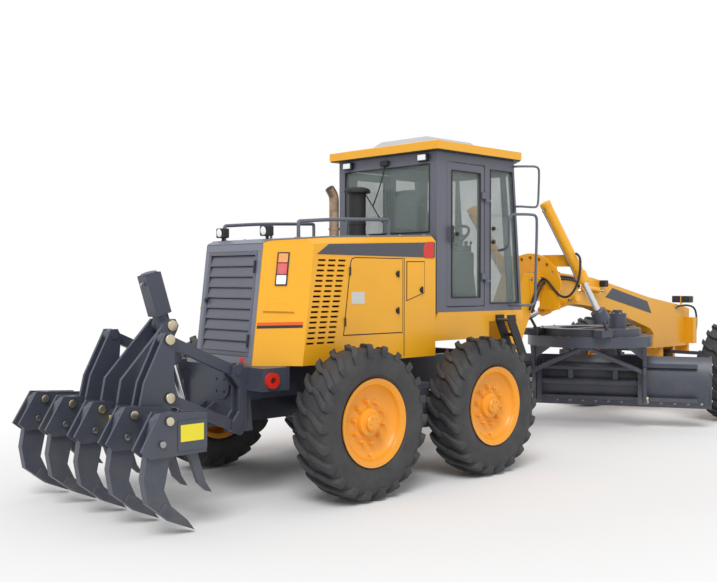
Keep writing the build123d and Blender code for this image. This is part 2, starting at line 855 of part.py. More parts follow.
# Front frame: hitch lug, rising neck, gooseneck and nose
pivot_z = 700.0
pivot_radius = 40.0
hanger_rear = (5600.0, 5680.0)
hanger_front = (5940.0, 6000.0)
neck_outline = (
    (2230, hitch_lug_low),
    (2380, hitch_lug_low),
    (2560, 1150),
    (2740, 1450),
    (2870, 1575),
    (3160, 1515),
    (4200, 1410),
    (4900, 1240),
    (5300, 1130),
    (5390, 1060),
    (5390, 870),
    (6300, 870),
    (6300, 790),
    (6350, 790),
    (6350, 1365),
    (6160, 1410),
    (5270, 1530),
    (4540, 1670),
    (3930, 1780),
    (3300, 1830),
    (2570, 1830),
    (2400, 1500),
    (2230, hitch_lug_high),
)
with BuildPart() as front_frame:
    side_plate(neck_outline, -neck_half_width, neck_half_width)
    level_plate(
        ((hitch_x, -110), (2300, -110), (2300, 110), (hitch_x, 110)), hitch_lug_low, hitch_lug_high
    )
    upright_pin(hitch_x, 0, hitch_lug_low, hitch_lug_high, 110)
    upright_pin(
        hitch_x, 0, hitch_lug_low - 1, hitch_lug_high + 1, hitch_pin_radius + running_gap, Mode.SUBTRACT
    )
    block(6250, 6350, -260, 260, 900, 1250)
    bar((6330, 0, 1350), (6440, 0, 1460), 14)
    block(6400, 6510, -130, 130, 1450, 1530)
    for low, high in (hanger_rear, hanger_front):
        block(low, high, -130, 130, 640, 880)
        bar((low - 1, 0, pivot_z), (high + 1, 0, pivot_z), pivot_radius, Mode.SUBTRACT)
    with Locations((draw_ball_x, 0, draw_ball_z)):
        Sphere(draw_ball_radius + running_gap, mode=Mode.SUBTRACT)
    bar((draw_ball_x, 0, draw_ball_z), (5380, 0, draw_ball_z), 72, Mode.SUBTRACT)
write(front_frame, "front_frame")

# Saddle: a cross beam for the lift cylinders and a half-round index plate with lock holes
saddle_base = 1830.0
beam_low = 1900.0
beam_half = 340.0
beam_half_width = 55.0
index_radius = 410.0
index_x = 2880.0
index_plate = 40.0
index_z = 1640.0
index_hole_count = 8
shift_stub_radius = 26.0
shift_stub_reach = 128.0
stub_radius = 35.0
boss_start = lift_barrel_radius + 8.0
boss_run = 100.0
boss_half = 58.0
# by side: each lift trunnion, the local place of its ball and the way of its swing pin
lift_trunnions = {side: Vector(saddle_x, side * lift_trunnion_y, lift_trunnion_z) for side in (-1, 1)}
lift_balls = {side: Vector(-lift_ball_back, side * lift_ball_side, lift_ball_z) for side in (-1, 1)}
lift_ways = {
    side: swing_way(lift_trunnions[side], lift_balls[side], Vector(0, -side, 0)) for side in (-1, 1)
}
shift_ball_local = Vector(-shift_ball_back, shift_ball_side, shift_ball_z)
shift_way = swing_way(shift_trunnion, shift_ball_local, Vector(-1, 0, 0))
with BuildPart() as saddle:
    block(index_x, 3200, -150, 150, saddle_base, beam_low)
    block(
        saddle_x - beam_half_width,
        saddle_x + beam_half_width,
        -beam_half,
        beam_half,
        beam_low,
        lift_trunnion_z + 65,
    )
    for side, way in lift_ways.items():
        start = lift_trunnions[side] + way * boss_start
        across = way.cross(Vector(0, 0, 1)).normalized() * boss_half
        lean = 1 if way.X > 0 else -1
        far = start + across + way * boss_run
        level_plate(
            (
                ((start - across).X, (start - across).Y),
                ((start + across).X, (start + across).Y),
                (far.X, far.Y),
                (saddle_x + lean * beam_half_width, side * (beam_half - 90)),
                (saddle_x - lean * beam_half_width, side * (beam_half - 60)),
            ),
            beam_low,
            lift_trunnion_z + 65,
        )
        bar(
            tuple(start - way),
            tuple(start + way * (boss_run - 20)),
            stub_radius + running_gap,
            Mode.SUBTRACT,
        )
    with BuildSketch(Plane.YZ.offset(index_x)) as index_face:
        with Locations((0, index_z)):
            Circle(index_radius)
        with Locations((0, index_z - index_radius / 2)):
            Rectangle(2 * index_radius, index_radius, mode=Mode.SUBTRACT)
        with Locations((0, index_z)):
            Rectangle(2 * neck_half_width, 2 * (saddle_base - index_z), mode=Mode.SUBTRACT)
        with Locations((0, index_z)):
            with PolarLocations(index_radius - 50, index_hole_count, 14, 153):
                Circle(22, mode=Mode.SUBTRACT)
    extrude(index_face.sketch, amount=index_plate)
    block(index_x, saddle_x - 40, -neck_half_width - 60, -neck_half_width, 1560, 1760)
    block(saddle_x - 130, saddle_x - 95, -400, -neck_half_width, 1425, 1640)
    bar(
        tuple(shift_trunnion + shift_way * 80),
        tuple(shift_trunnion + shift_way * (shift_stub_reach + 8)),
        shift_stub_radius + running_gap,
        Mode.SUBTRACT,
    )
write(saddle, "saddle")

# Front axle: beam with eyes for the leaning brackets, the fixed cylinder and its pivot boss
lean_y = 640.0
lean_z = 600.0
king_y = 760.0
lean_pin_radius = 30.0
beam_end = 500.0
steer_x = 5580.0
steer_z = 476.0
steer_rod_radius = 22.0
with BuildPart() as front_axle:
    block(front_axle_x - 80, front_axle_x + 80, -beam_end, beam_end, lean_z, 740)
    bar((hanger_rear[1] + 2, 0, pivot_z), (hanger_front[0] - 2, 0, pivot_z), 60)
    bar((hanger_rear[0] - 12, 0, pivot_z), (hanger_front[1] + 12, 0, pivot_z), pivot_radius)
    for side in (-1, 1):
        arm = sorted((side * beam_end, side * lean_y))
        block(front_axle_x - 40, front_axle_x + 40, arm[0], arm[1], lean_z - 34, lean_z + 34)
        bar((front_axle_x - 40, side * lean_y, lean_z), (front_axle_x + 40, side * lean_y, lean_z), 42)
        bar(
            (front_axle_x - 41, side * lean_y, lean_z),
            (front_axle_x + 41, side * lean_y, lean_z),
            lean_pin_radius + running_gap,
            Mode.SUBTRACT,
        )
    cross_pin(steer_x, steer_z, -230, 230, 42)
    block(steer_x - 22, front_axle_x - 60, -120, 120, lean_z - 12, lean_z + 30)
    block(steer_x - 22, steer_x + 22, -110, 110, steer_z, lean_z + 20)
    cross_pin(steer_x, steer_z, -231, 231, steer_rod_radius + running_gap, Mode.SUBTRACT)
write(front_axle, "front_axle")

with BuildPart() as tie_rod:
    cross_pin(steer_x, steer_z, -590, 590, steer_rod_radius)
write(tie_rod, "tie_rod")

# Leaning bracket of the left wheel: fork, web and kingpin barrel
fork_inner = 50.0
fork_outer = 90.0
bar_pin_x = 5900.0
bar_pin_z = 800.0
bar_pin_radius = 18.0
king_radius = 25.0
with BuildPart() as lean_left:
    fork_outline = (
        (lean_y - 55, lean_z - 30),
        (lean_y - 30, lean_z - 55),
        (lean_y + 55, lean_z - 55),
        (lean_y + 60, lean_z - 50),
        (lean_y + 60, 830),
        (lean_y - 20, 850),
        (lean_y - 40, 800),
        (lean_y - 55, 720),
    )
    cross_plate(fork_outline, front_axle_x - fork_outer, front_axle_x - fork_inner)
    cross_plate(fork_outline, front_axle_x + fork_inner, front_axle_x + fork_outer)
    bar((front_axle_x - 100, lean_y, lean_z), (front_axle_x + 100, lean_y, lean_z), lean_pin_radius)
    block(front_axle_x - fork_outer, front_axle_x + fork_outer, lean_y + 48, lean_y + 60, 545, 755)
    block(front_axle_x - 40, front_axle_x + 40, lean_y + 55, king_y, 545, 740)
    upright_pin(front_axle_x, king_y, 500, 760, 55)
    upright_pin(front_axle_x, king_y, 499, 761, king_radius + running_gap, Mode.SUBTRACT)
    bar((front_axle_x + fork_outer - 1, lean_y, bar_pin_z), (bar_pin_x + 22, lean_y, bar_pin_z), bar_pin_radius)
write(lean_left, "lean_left")

with BuildPart() as lean_right:
    add(lean_left.part.mirror(Plane.XZ))
write(lean_right, "lean_right")

# Lean bar that keeps both front wheels at one angle
with BuildPart() as lean_bar:
    block(bar_pin_x - 16, bar_pin_x + 16, -lean_y, lean_y, bar_pin_z - 22, bar_pin_z + 22)
    for side in (-1, 1):
        bar((bar_pin_x - 16, side * lean_y, bar_pin_z), (bar_pin_x + 16, side * lean_y, bar_pin_z), 36)
        bar(
            (bar_pin_x - 17, side * lean_y, bar_pin_z),
            (bar_pin_x + 17, side * lean_y, bar_pin_z),
            bar_pin_radius + running_gap,
            Mode.SUBTRACT,
        )
write(lean_bar, "lean_bar")

# Steering knuckle of the left wheel: kingpin, fork, spindle and steering arm
with BuildPart() as knuckle_left:
    for low, high in ((460, 492), (768, 800)):
        upright_pin(front_axle_x, king_y, low, high, 55)
        block(front_axle_x - 55, front_axle_x + 55, king_y, king_y + 105, low, high)
    upright_pin(front_axle_x, king_y, 455, 805, king_radius)
    block(front_axle_x - 55, front_axle_x + 55, king_y + 66, king_y + 105, 460, 800)
    cross_pin(front_axle_x, axle_height, king_y + 100, wheel_y - 70, 70)
    cross_pin(front_axle_x, axle_height, king_y + 100, wheel_y + 50, spindle_radius)
    level_plate(
        (
            (front_axle_x, king_y - 35),
            (front_axle_x, king_y + 35),
            (steer_x, king_y - 60 + 22),
            (steer_x, king_y - 60 - 22),
        ),
        460,
        492,
    )
    upright_pin(steer_x, king_y - 60, 460, 492, 30)
write(knuckle_left, "knuckle_left")

with BuildPart() as knuckle_right:
    add(knuckle_left.part.mirror(Plane.XZ))
write(knuckle_right, "knuckle_right")

# Drawbar: ball, neck, two side beams, ring plate, journal and the lift and shift balls
draw_plate_low = circle_high + 7.0
draw_plate_high = draw_plate_low + 78.0
ring_centre = -draw_reach
to_drawbar = draw_place.inverse()


def seen_from_drawbar(point):
    """A point of the machine in the drawbar's own frame."""
    return (to_drawbar * Location(tuple(point))).position


with BuildPart() as drawbar:
    with Locations((0, 0, draw_ball_z)):
        Sphere(draw_ball_radius)
    bar((0, 0, draw_ball_z), (-260, 0, draw_ball_z + 8), 42)
    side_plate(
        (
            (-235, draw_ball_z - 45),
            (-235, draw_ball_z + 45),
            (-560, draw_plate_high),
            (-640, draw_plate_high),
            (-640, draw_plate_low),
            (-480, draw_plate_low),
            (-350, draw_ball_z - 45),
        ),
        -80,
        80,
    )
    for side in (-1, 1):
        level_plate(
            (
                (-560, side * 10),
                (-600, side * 90),
                (ring_centre + 240, side * 490),
                (ring_centre + 300, side * 380),
            ),
            draw_plate_low,
            draw_plate_high,
        )
    with BuildSketch(Plane.XY.offset(draw_plate_low)) as ring_plate:
        with Locations((ring_centre, 0)):
            Circle(548)
            Circle(360, mode=Mode.SUBTRACT)
    extrude(ring_plate.sketch, amount=draw_plate_high - draw_plate_low)
    with BuildSketch(Plane.XY.offset(circle_low)) as journal:
        with Locations((ring_centre, 0)):
            Circle(circle_inner_radius - running_gap)
            Circle(548, mode=Mode.SUBTRACT)
    extrude(journal.sketch, amount=draw_plate_high - circle_low)
    with BuildSketch(Plane.XY.offset(draw_plate_low)) as keeper:
        with Locations((ring_centre, 0)):
            Circle(circle_inner_radius - running_gap)
            Circle(540, mode=Mode.SUBTRACT)
    extrude(keeper.sketch, amount=draw_plate_high - draw_plate_low)
    block(ring_centre - 380, ring_centre + 380, -45, 45, draw_plate_low, draw_plate_high)
    for side, ball in lift_balls.items():
        level_plate(
            (
                (ring_centre - 83, side * (lift_ball_side - 26)),
                (ring_centre - 133, side * (lift_ball_side - 166)),
                (-lift_ball_back + 104, side * (lift_ball_side - 116)),
                (-lift_ball_back - 66, side * (lift_ball_side - 56)),
                (-lift_ball_back - 66, side * (lift_ball_side + 44)),
                (-lift_ball_back + 74, side * (lift_ball_side + 84)),
            ),
            draw_plate_low,
            draw_plate_high,
        )
        axis = (ball - seen_from_drawbar(lift_trunnions[side])).normalized()
        foot = ball + axis * ((lift_ball_z - draw_plate_high + 12) / -axis.Z)
        bar(tuple(ball), tuple(foot), 16)
        upright_pin(foot.X, foot.Y, draw_plate_low, draw_plate_high + 14, 42)
        with Locations(tuple(ball)):
            Sphere(lift_ball_radius)
    ball = shift_ball_local
    axis = (ball - seen_from_drawbar(shift_trunnion)).normalized()
    foot = ball + axis * 150
    square_bar(
        (-lift_ball_back - 16, lift_ball_side - 6, draw_plate_high - 34),
        (foot.X - 10, foot.Y + 20, draw_plate_high - 34),
        90,
        60,
    )
    bar((foot.X, foot.Y, draw_plate_high - 30), (foot.X, foot.Y, foot.Z + 32), 32)
    bar(tuple(ball), tuple(foot), 14)
    with Locations(tuple(ball)):
        Sphere(shift_ball_radius)
    upright_pin(ring_centre + 120, -300, draw_plate_low, draw_plate_high + 170, 105)
write(drawbar, "drawbar", draw_place)

# Circle: the turning ring and its two arms down to the blade
arm_plate = 40.0
tilt_x = 50.0
tilt_pin_radius = 28.0
with BuildPart() as circle:
    with BuildSketch(Plane.XY.offset(circle_low)) as ring:
        Circle(circle_radius)
        Circle(circle_inner_radius, mode=Mode.SUBTRACT)
    extrude(ring.sketch, amount=circle_high - circle_low)
    for side in (-1, 1):
        face = sorted((side * (arm_span - arm_plate / 2), side * (arm_span + arm_plate / 2)))
        side_plate(
            (
                (-280, circle_low + 5),
                (10, circle_low + 5),
                (0, 620),
                (0, 460),
                (tilt_x + 52, 385),
                (tilt_x + 52, 315),
                (tilt_x, 285),
                (tilt_x - 55, 315),
                (-85, 520),
                (-170, 820),
            ),
            face[0],
            face[1],
        )
        face = sorted((side * (arm_span - 100), side * (arm_span + arm_plate / 2 + 1)))
        cross_pin(tilt_x, tilt_pivot_z, face[0] + 0.5, face[1] - 0.5, tilt_pin_radius)
        cross_plate(
            (
                (side * (circle_inner_radius + 8), circle_low + 5),
                (side * (arm_span + 20), circle_low + 5),
                (side * (arm_span + 20), 700),
                (side * arm_span, 700),
            ),
            -60,
            -30,
        )
write(circle, "circle", blade_place)

# Blade carriage: two tilting brackets that grip the blade's rails, a tube and the side-shift barrel
bracket_in = arm_span - 20 - 8 - 52
bracket_out = arm_span - 20 - 8
shift_bar_x = 85.0
shift_bar_z = blade_low + blade_height / 2
shift_bar_radius = 25.0
upper_rail_z = shift_bar_z + 200
lower_rail_z = shift_bar_z - 200
rail_back = blade_back - 20
slide_gap = 6.0
with BuildPart() as blade_carriage:
    for side in (-1, 1):
        face = sorted((side * bracket_in, side * bracket_out))
        side_plate(
            (
                (-10, tilt_pivot_z - 40),
                (tilt_x - 20, tilt_pivot_z - 58),
                (blade_back + 8, tilt_pivot_z - 45),
                (blade_back + 8, 385),
                (blade_back - 14, 425),
                (blade_back - 14, 655),
                (blade_back + 8, 695),
                (blade_back + 8, 790),
                (50, 800),
                (-20, 700),
            ),
            face[0],
            face[1],
        )
        cross_pin(tilt_x, tilt_pivot_z, face[0] - 1, face[1] + 1, tilt_pin_radius + running_gap, Mode.SUBTRACT)
        for z in (lower_rail_z, upper_rail_z):
            block(
                rail_back - slide_gap,
                blade_back + 20,
                face[0] - 1,
                face[1] + 1,
                z - rail_bar / 2 - slide_gap,
                z + rail_bar / 2 + slide_gap,
                Mode.SUBTRACT,
            )
    cross_pin(20, 715, -bracket_in - 5, bracket_in + 5, 36)
    cross_pin(shift_bar_x, shift_bar_z, -bracket_in - 5, bracket_in + 5, 46)
    cross_pin(shift_bar_x, shift_bar_z, -bracket_in, bracket_out + 1, shift_bar_radius + running_gap, Mode.SUBTRACT)
write(blade_carriage, "blade_carriage", blade_place)

# Moldboard: a curved plate with rails, end plates, cutting edge and the side-shift lug
blade_right = blade_shift_left - blade_length / 2
blade_left = blade_shift_left + blade_length / 2
arc_centre_x = blade_back + blade_arc_radius + blade_plate
arc_centre_z = shift_bar_z
half_angle = degrees(atan2(blade_height / 2, sqrt((blade_arc_radius + blade_plate) ** 2 - (blade_height / 2) ** 2)))
shift_lug_y = 1760.0


def arc_point(radius, angle):
    """A point of the moldboard's section."""
    return (
        arc_centre_x - radius * cos(radians(angle)),
        arc_centre_z + radius * sin(radians(angle)),
    )


with BuildPart() as moldboard:
    plane = Plane(origin=(0, blade_left, 0), x_dir=(1, 0, 0), z_dir=(0, -1, 0))
    back = blade_arc_radius + blade_plate
    front = blade_arc_radius
    with BuildSketch(plane) as section:
        with BuildLine():
            ThreePointArc(arc_point(back, -half_angle), arc_point(back, 0), arc_point(back, half_angle))
            Line(arc_point(back, half_angle), arc_point(front, half_angle))
            ThreePointArc(arc_point(front, half_angle), arc_point(front, 0), arc_point(front, -half_angle))
            Line(arc_point(front, -half_angle), arc_point(back, -half_angle))
        make_face()
    extrude(section.sketch, amount=blade_length)
    for z in (lower_rail_z, upper_rail_z):
        block(rail_back, blade_back + 70, blade_right + 160, blade_left - 160, z - rail_bar / 2, z + rail_bar / 2)
    side_plate(
        ((blade_back - 24, 500), (blade_back - 24, 580), (blade_back + 10, 600), (blade_back + 10, 480)),
        shift_lug_y - 20,
        shift_lug_y + 20,
    )
    block(shift_bar_x - 45, blade_back - 20, shift_lug_y - 20, shift_lug_y + 20, 500, 580)
    cross_pin(shift_bar_x, shift_bar_z, shift_lug_y - 21, shift_lug_y + 21, shift_bar_radius, Mode.SUBTRACT)
    for y in (blade_right, blade_left - 18):
        side_plate(
            (
                (blade_back + 128, blade_low - 10),
                (blade_back + 190, blade_low + 40),
                (blade_back + 190, blade_low + blade_height - 60),
                (blade_back + 130, blade_low + blade_height + 12),
                (blade_back + 90, blade_low + blade_height - 50),
                (blade_back + 5, shift_bar_z + 120),
                (blade_back - 5, shift_bar_z - 120),
                (blade_back + 70, blade_low + 40),
            ),
            y,
            y + 18,
        )
write(moldboard, "moldboard", blade_place)

with BuildPart() as sideshift_rod:
    cross_pin(shift_bar_x, shift_bar_z, 470, shift_lug_y + 30, shift_bar_radius)
write(sideshift_rod, "sideshift_rod", blade_place)


def cap_rod(ball, trunnion, radius, length, cap_radius, cap_wall):
    """A cylinder rod that ends in an open cap over its ball."""
    axis = (trunnion - ball).normalized()
    start = ball + axis * (cap_radius - cap_wall + 4)
    bar(tuple(start), tuple(ball + axis * length), radius)
    bar(tuple(ball - axis * 34), tuple(ball + axis * (cap_radius + 6)), cap_radius)
    bar(
        tuple(ball - axis * 35),
        tuple(ball + axis * (cap_radius - cap_wall)),
        cap_radius - cap_wall,
        Mode.SUBTRACT,
    )


def tube_barrel(trunnion, toward, radius, above, below):
    """A cylinder barrel through its trunnion, with a gland ring."""
    axis = (toward - trunnion).normalized()
    bar(tuple(trunnion - axis * above), tuple(trunnion + axis * below), radius)
    bar(tuple(trunnion + axis * (below - 90)), tuple(trunnion + axis * (below + 6)), radius + 14)


def rod_bore(trunnion, toward, above, below, bore, end_wall):
    """The blind bore that a cylinder's rod runs in."""
    axis = (toward - trunnion).normalized()
    bar(
        tuple(trunnion - axis * (above - end_wall)),
        tuple(trunnion + axis * (below + 7)),
        bore + running_gap,
        Mode.SUBTRACT,
    )


# Lift cylinders: barrels on the saddle's beam, rods down to the drawbar's balls
lift_above = 720.0
lift_below = 248.0
lift_rod_reach = 1150.0
lift_cap_radius = 84.0
lift_cap_wall = 12.0
for side_name, side in (("left", 1), ("right", -1)):
    ball = (draw_place * Location(tuple(lift_balls[side]))).position
    trunnion = lift_trunnions[side]
    way = lift_ways[side]
    with BuildPart() as lift_barrel:
        tube_barrel(trunnion, ball, lift_barrel_radius, lift_above, lift_below)
        inner = lift_rod_radius + 12
        bar(tuple(trunnion + way * inner), tuple(trunnion + way * (boss_start + boss_run - 25)), stub_radius)
        bar(tuple(trunnion + way * inner), tuple(trunnion + way * (boss_start - 6)), stub_radius + 20)
        rod_bore(trunnion, ball, lift_above, lift_below, lift_rod_radius, 30)
    write(lift_barrel, f"lift_barrel_{side_name}")
    with BuildPart() as lift_rod:
        cap_rod(ball, trunnion, lift_rod_radius, lift_rod_reach, lift_cap_radius, lift_cap_wall)
    write(lift_rod, f"lift_rod_{side_name}")

# Centre-shift cylinder between the saddle and the drawbar's arm
shift_ball = (draw_place * Location(tuple(shift_ball_local))).position
shift_rod_radius = 24.0
shift_below = 250.0
shift_above = 250.0
with BuildPart() as shift_barrel:
    tube_barrel(shift_trunnion, shift_ball, 44, shift_above, shift_below)
    bar(
        tuple(shift_trunnion + shift_way * (shift_rod_radius + 8)),
        tuple(shift_trunnion + shift_way * shift_stub_reach),
        shift_stub_radius,
    )
    rod_bore(shift_trunnion, shift_ball, shift_above, shift_below, shift_rod_radius, 25)
write(shift_barrel, "shift_barrel")
with BuildPart() as shift_rod:
    cap_rod(shift_ball, shift_trunnion, shift_rod_radius, 810, 84, 10)
write(shift_rod, "shift_rod")

# Ripper links, alike above and below
link_rear_x = link_front_x - link_run
link_bore = link_pin_radius + running_gap
for link_name, z in (("upper", upper_link_z), ("lower", lower_link_z)):
    with BuildPart() as ripper_links:
        for side in (-1, 1):
            low = side * link_y - link_width / 2
            high = side * link_y + link_width / 2
            side_plate(
                (
                    (link_front_x - 12, z - 38),
                    (link_front_x + 12, z + 38),
                    (link_rear_x + 12, z + link_rise + 38),
                    (link_rear_x - 12, z + link_rise - 38),
                ),
                low,
                high,
            )
            for x, height in ((link_front_x, z), (link_rear_x, z + link_rise)):
                cross_pin(x, height, low, high, 50)
                cross_pin(x, height, low - 1, high + 1, link_bore, Mode.SUBTRACT)
    write(ripper_links, f"ripper_{link_name}_links")

# Ripper beam with its shanks, teeth, link plates and tower
tower_x = -1970.0
tower_z = 1390.0
tower_in = 100.0
tower_plate = 30.0
ripper_stub = 30.0
beam_front = beam_x + beam_depth / 2
beam_back = beam_x - beam_depth / 2
beam_top = beam_z + beam_height / 2
beam_base = beam_z - beam_height / 2
with BuildPart() as ripper_beam:
    block(beam_back, beam_front, -beam_half_length, beam_half_length, beam_base, beam_top)
    for side in (-1, 1):
        for inner in (ripper_plate_in, ripper_plate_out - ripper_plate):
            plate = sorted((side * inner, side * (inner + ripper_plate)))
            side_plate(
                (
                    (beam_back + 10, beam_top - 5),
                    (beam_front, beam_top - 5),
                    (link_rear_x + 52, lower_link_z + link_rise - 50),
                    (link_rear_x + 58, lower_link_z + link_rise + 30),
                    (link_rear_x + 40, 1050),
                    (link_rear_x + 56, upper_link_z + link_rise),
                    (link_rear_x + 30, upper_link_z + link_rise + 50),
                    (link_rear_x - 30, upper_link_z + link_rise + 50),
                    (beam_back + 60, 1000),
                ),
                plate[0],
                plate[1],
            )
        for z in (upper_link_z + link_rise, lower_link_z + link_rise):
            pin = sorted((side * (ripper_plate_in - 8), side * (ripper_plate_out + 8)))
            cross_pin(link_rear_x, z, pin[0], pin[1], link_pin_radius)
        tower = sorted((side * tower_in, side * (tower_in + tower_plate)))
        side_plate(
            (
                (beam_back + 20, beam_top - 5),
                (beam_front - 10, beam_top - 5),
                (tower_x + 45, tower_z - 40),
                (tower_x + 60, tower_z),
                (tower_x + 30, tower_z + 52),
                (tower_x - 35, tower_z + 50),
                (beam_back + 60, 1000),
            ),
            tower[0],
            tower[1],
        )
        cross_pin(tower_x, tower_z, tower[0] - 1, tower[1] + 1, ripper_stub + running_gap, Mode.SUBTRACT)
    for turn in range(shank_count):
        y = (turn - (shank_count - 1) / 2) * shank_pitch
        side_plate(
            (
                (-2312, 14),
                (-2500, 96),
                (-2690, 240),
                (-2722, 413),
                (-2700, 545),
                (-2640, 800),
                (-2600, 840),
                (beam_back - 6, 840),
                (beam_back - 6, 560),
                (-2520, 520),
                (-2563, 323),
                (-2500, 191),
            ),
            y - 32,
            y + 32,
        )
        side_plate(
            (
                (-2610, 850),
                (beam_front, beam_top + 40),
                (beam_front, beam_base - 30),
                (-2507, 548),
                (-2690, 548),
                (-2760, 603),
            ),
            y - 62,
            y - 40,
        )
        side_plate(
            (
                (-2610, 850),
                (beam_front, beam_top + 40),
                (beam_front, beam_base - 30),
                (-2507, 548),
                (-2690, 548),
                (-2760, 603),
            ),
            y + 40,
            y + 62,
        )
        sided_pin(-2545, 790, y - 75, y + 75, 24)
        sided_pin(-2600, 640, y - 75, y + 75, 20)
    for turn in range(tooth_count):
        y = (turn - (tooth_count - 1) / 2) * tooth_pitch
        side_plate(
            (
                (beam_front - 140, beam_base + 10),
                (beam_front - 60, beam_base + 10),
                (-2215, 330),
                (-2160, 250),
                (-2200, 262),
                (-2275, 330),
            ),
            y - 18,
            y + 18,
        )
write(ripper_beam, "ripper_beam")

# Ripper cylinder: the barrel hangs in the tower, the rod's eye sits between the frame's lugs
ripper_trunnion = Vector(tower_x, 0, tower_z)
ripper_eye = Vector(-1720, 0, 600)
ripper_above = 430.0
ripper_below = 300.0
with BuildPart() as ripper_barrel:
    tube_barrel(ripper_trunnion, ripper_eye, 62, ripper_above, ripper_below)
    for side in (-1, 1):
        stub = sorted((side * (32 + 10), side * (tower_in + tower_plate - 2)))
        cross_pin(tower_x, tower_z, stub[0], stub[1], ripper_stub)
        collar = sorted((side * (32 + 10), side * (tower_in - 5)))
        cross_pin(tower_x, tower_z, collar[0], collar[1], 52)
    rod_bore(ripper_trunnion, ripper_eye, ripper_above, ripper_below, 32, 30)
write(ripper_barrel, "ripper_barrel")

with BuildPart() as ripper_rod:
    axis = (ripper_trunnion - ripper_eye).normalized()
    bar(tuple(ripper_eye + axis * 20), tuple(ripper_eye + axis * 995), 32)
    cross_pin(ripper_eye.X, ripper_eye.Z, -38, 38, 46)
write(ripper_rod, "ripper_rod")
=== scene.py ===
import json
from math import atan2, cos, degrees, pi, radians, sin, sqrt

import bpy
from mathutils import Matrix, Vector


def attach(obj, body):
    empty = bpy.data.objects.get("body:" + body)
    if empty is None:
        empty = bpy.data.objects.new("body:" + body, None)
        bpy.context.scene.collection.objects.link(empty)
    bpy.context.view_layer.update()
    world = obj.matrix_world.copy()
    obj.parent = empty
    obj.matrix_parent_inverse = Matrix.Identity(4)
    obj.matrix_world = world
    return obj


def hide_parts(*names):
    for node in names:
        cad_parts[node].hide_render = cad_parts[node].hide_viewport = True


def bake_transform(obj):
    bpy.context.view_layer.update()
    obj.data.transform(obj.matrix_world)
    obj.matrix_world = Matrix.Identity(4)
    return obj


bl_info = {
    "name": "Motor grader",
    "version": (1, 0, 0),
    "blender": (4, 5, 0),
    "location": "View3D > Sidebar > Grader",
    "description": "Dresses a motor grader with its paint, tyres, trims and fittings",
    "category": "Object",
}

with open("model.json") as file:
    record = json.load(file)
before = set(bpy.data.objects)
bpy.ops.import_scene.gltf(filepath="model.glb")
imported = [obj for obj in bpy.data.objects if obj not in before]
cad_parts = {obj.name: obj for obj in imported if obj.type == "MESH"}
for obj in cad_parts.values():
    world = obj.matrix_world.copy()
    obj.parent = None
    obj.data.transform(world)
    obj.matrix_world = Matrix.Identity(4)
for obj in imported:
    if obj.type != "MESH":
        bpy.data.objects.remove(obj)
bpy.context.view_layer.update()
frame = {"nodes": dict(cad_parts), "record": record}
nodes = frame["nodes"]

WHEELS = (
    # name, place along, place across, side
    ("rear_left", -0.768, 1.010, 1),
    ("rear_right", -0.768, -1.010, -1),
    ("middle_left", 0.768, 1.010, 1),
    ("middle_right", 0.768, -1.010, -1),
    ("front_left", 5.780, 1.010, 1),
    ("front_right", 5.780, -1.010, -1),
)
AXLE_HEIGHT = 0.620

# The photo's camera, solved from the wheels, the cab and the frame
CAMERA_PLACE = (-6.247, -6.564, 1.739)
CAMERA_TURN = (90 - 0.592, -0.061, 45.626 - 90)
FOCAL_LENGTH, PHOTO_WIDTH, SENSOR_WIDTH = 980.4, 717, 36

# Pivots of the cylinders on the machine, and balls at their rods' ends on the drawbar
LIFT_PIVOT, LIFT_BALL = (2.990, 0.500, 1.965), (-2.224, 0.456, 1.331)
LIFT_PIVOT_RIGHT, LIFT_BALL_RIGHT = (2.990, -0.500, 1.965), (-2.224, -0.456, 1.331)
SHIFT_PIVOT, SHIFT_BALL = (2.985, -0.330, 1.480), (-2.441, 0.530, 1.270)
RIPPER_PIVOT, RIPPER_EYE = (-1.970, 0, 1.390), (-1.720, 0, 0.600)

# The drawbar runs from its ball at the nose to the circle's centre
BALL_ALONG, CIRCLE_ALONG, CIRCLE_ACROSS = 5.480, 3.870, -0.150
DRAWBAR_YAW = atan2(-CIRCLE_ACROSS, BALL_ALONG - CIRCLE_ALONG)


# Sizes and colours that a user would change


class GraderSizes(bpy.types.PropertyGroup):
    """Sizes of the repeated pieces"""

    lug_count: bpy.props.IntProperty(
        name="Tread lugs", description="Lugs on each side of a tyre", default=22, min=12, max=30
    )
    tyre_steps: bpy.props.IntProperty(
        name="Tyre steps", description="Segments around a tyre", default=88, min=24, max=160
    )
    nut_count: bpy.props.IntProperty(
        name="Wheel nuts", description="Nuts on each wheel disc", default=10, min=5, max=16
    )
    nut_circle: bpy.props.FloatProperty(
        name="Nut circle",
        description="Radius of the circle of wheel nuts",
        default=0.168,
        unit="LENGTH",
    )
    bolt_width: bpy.props.FloatProperty(
        name="Bolt head", description="Width of a frame bolt's head", default=0.030, unit="LENGTH"
    )
    hose_radius: bpy.props.FloatProperty(
        name="Hose radius", description="Radius of a hydraulic hose", default=0.013, unit="LENGTH"
    )


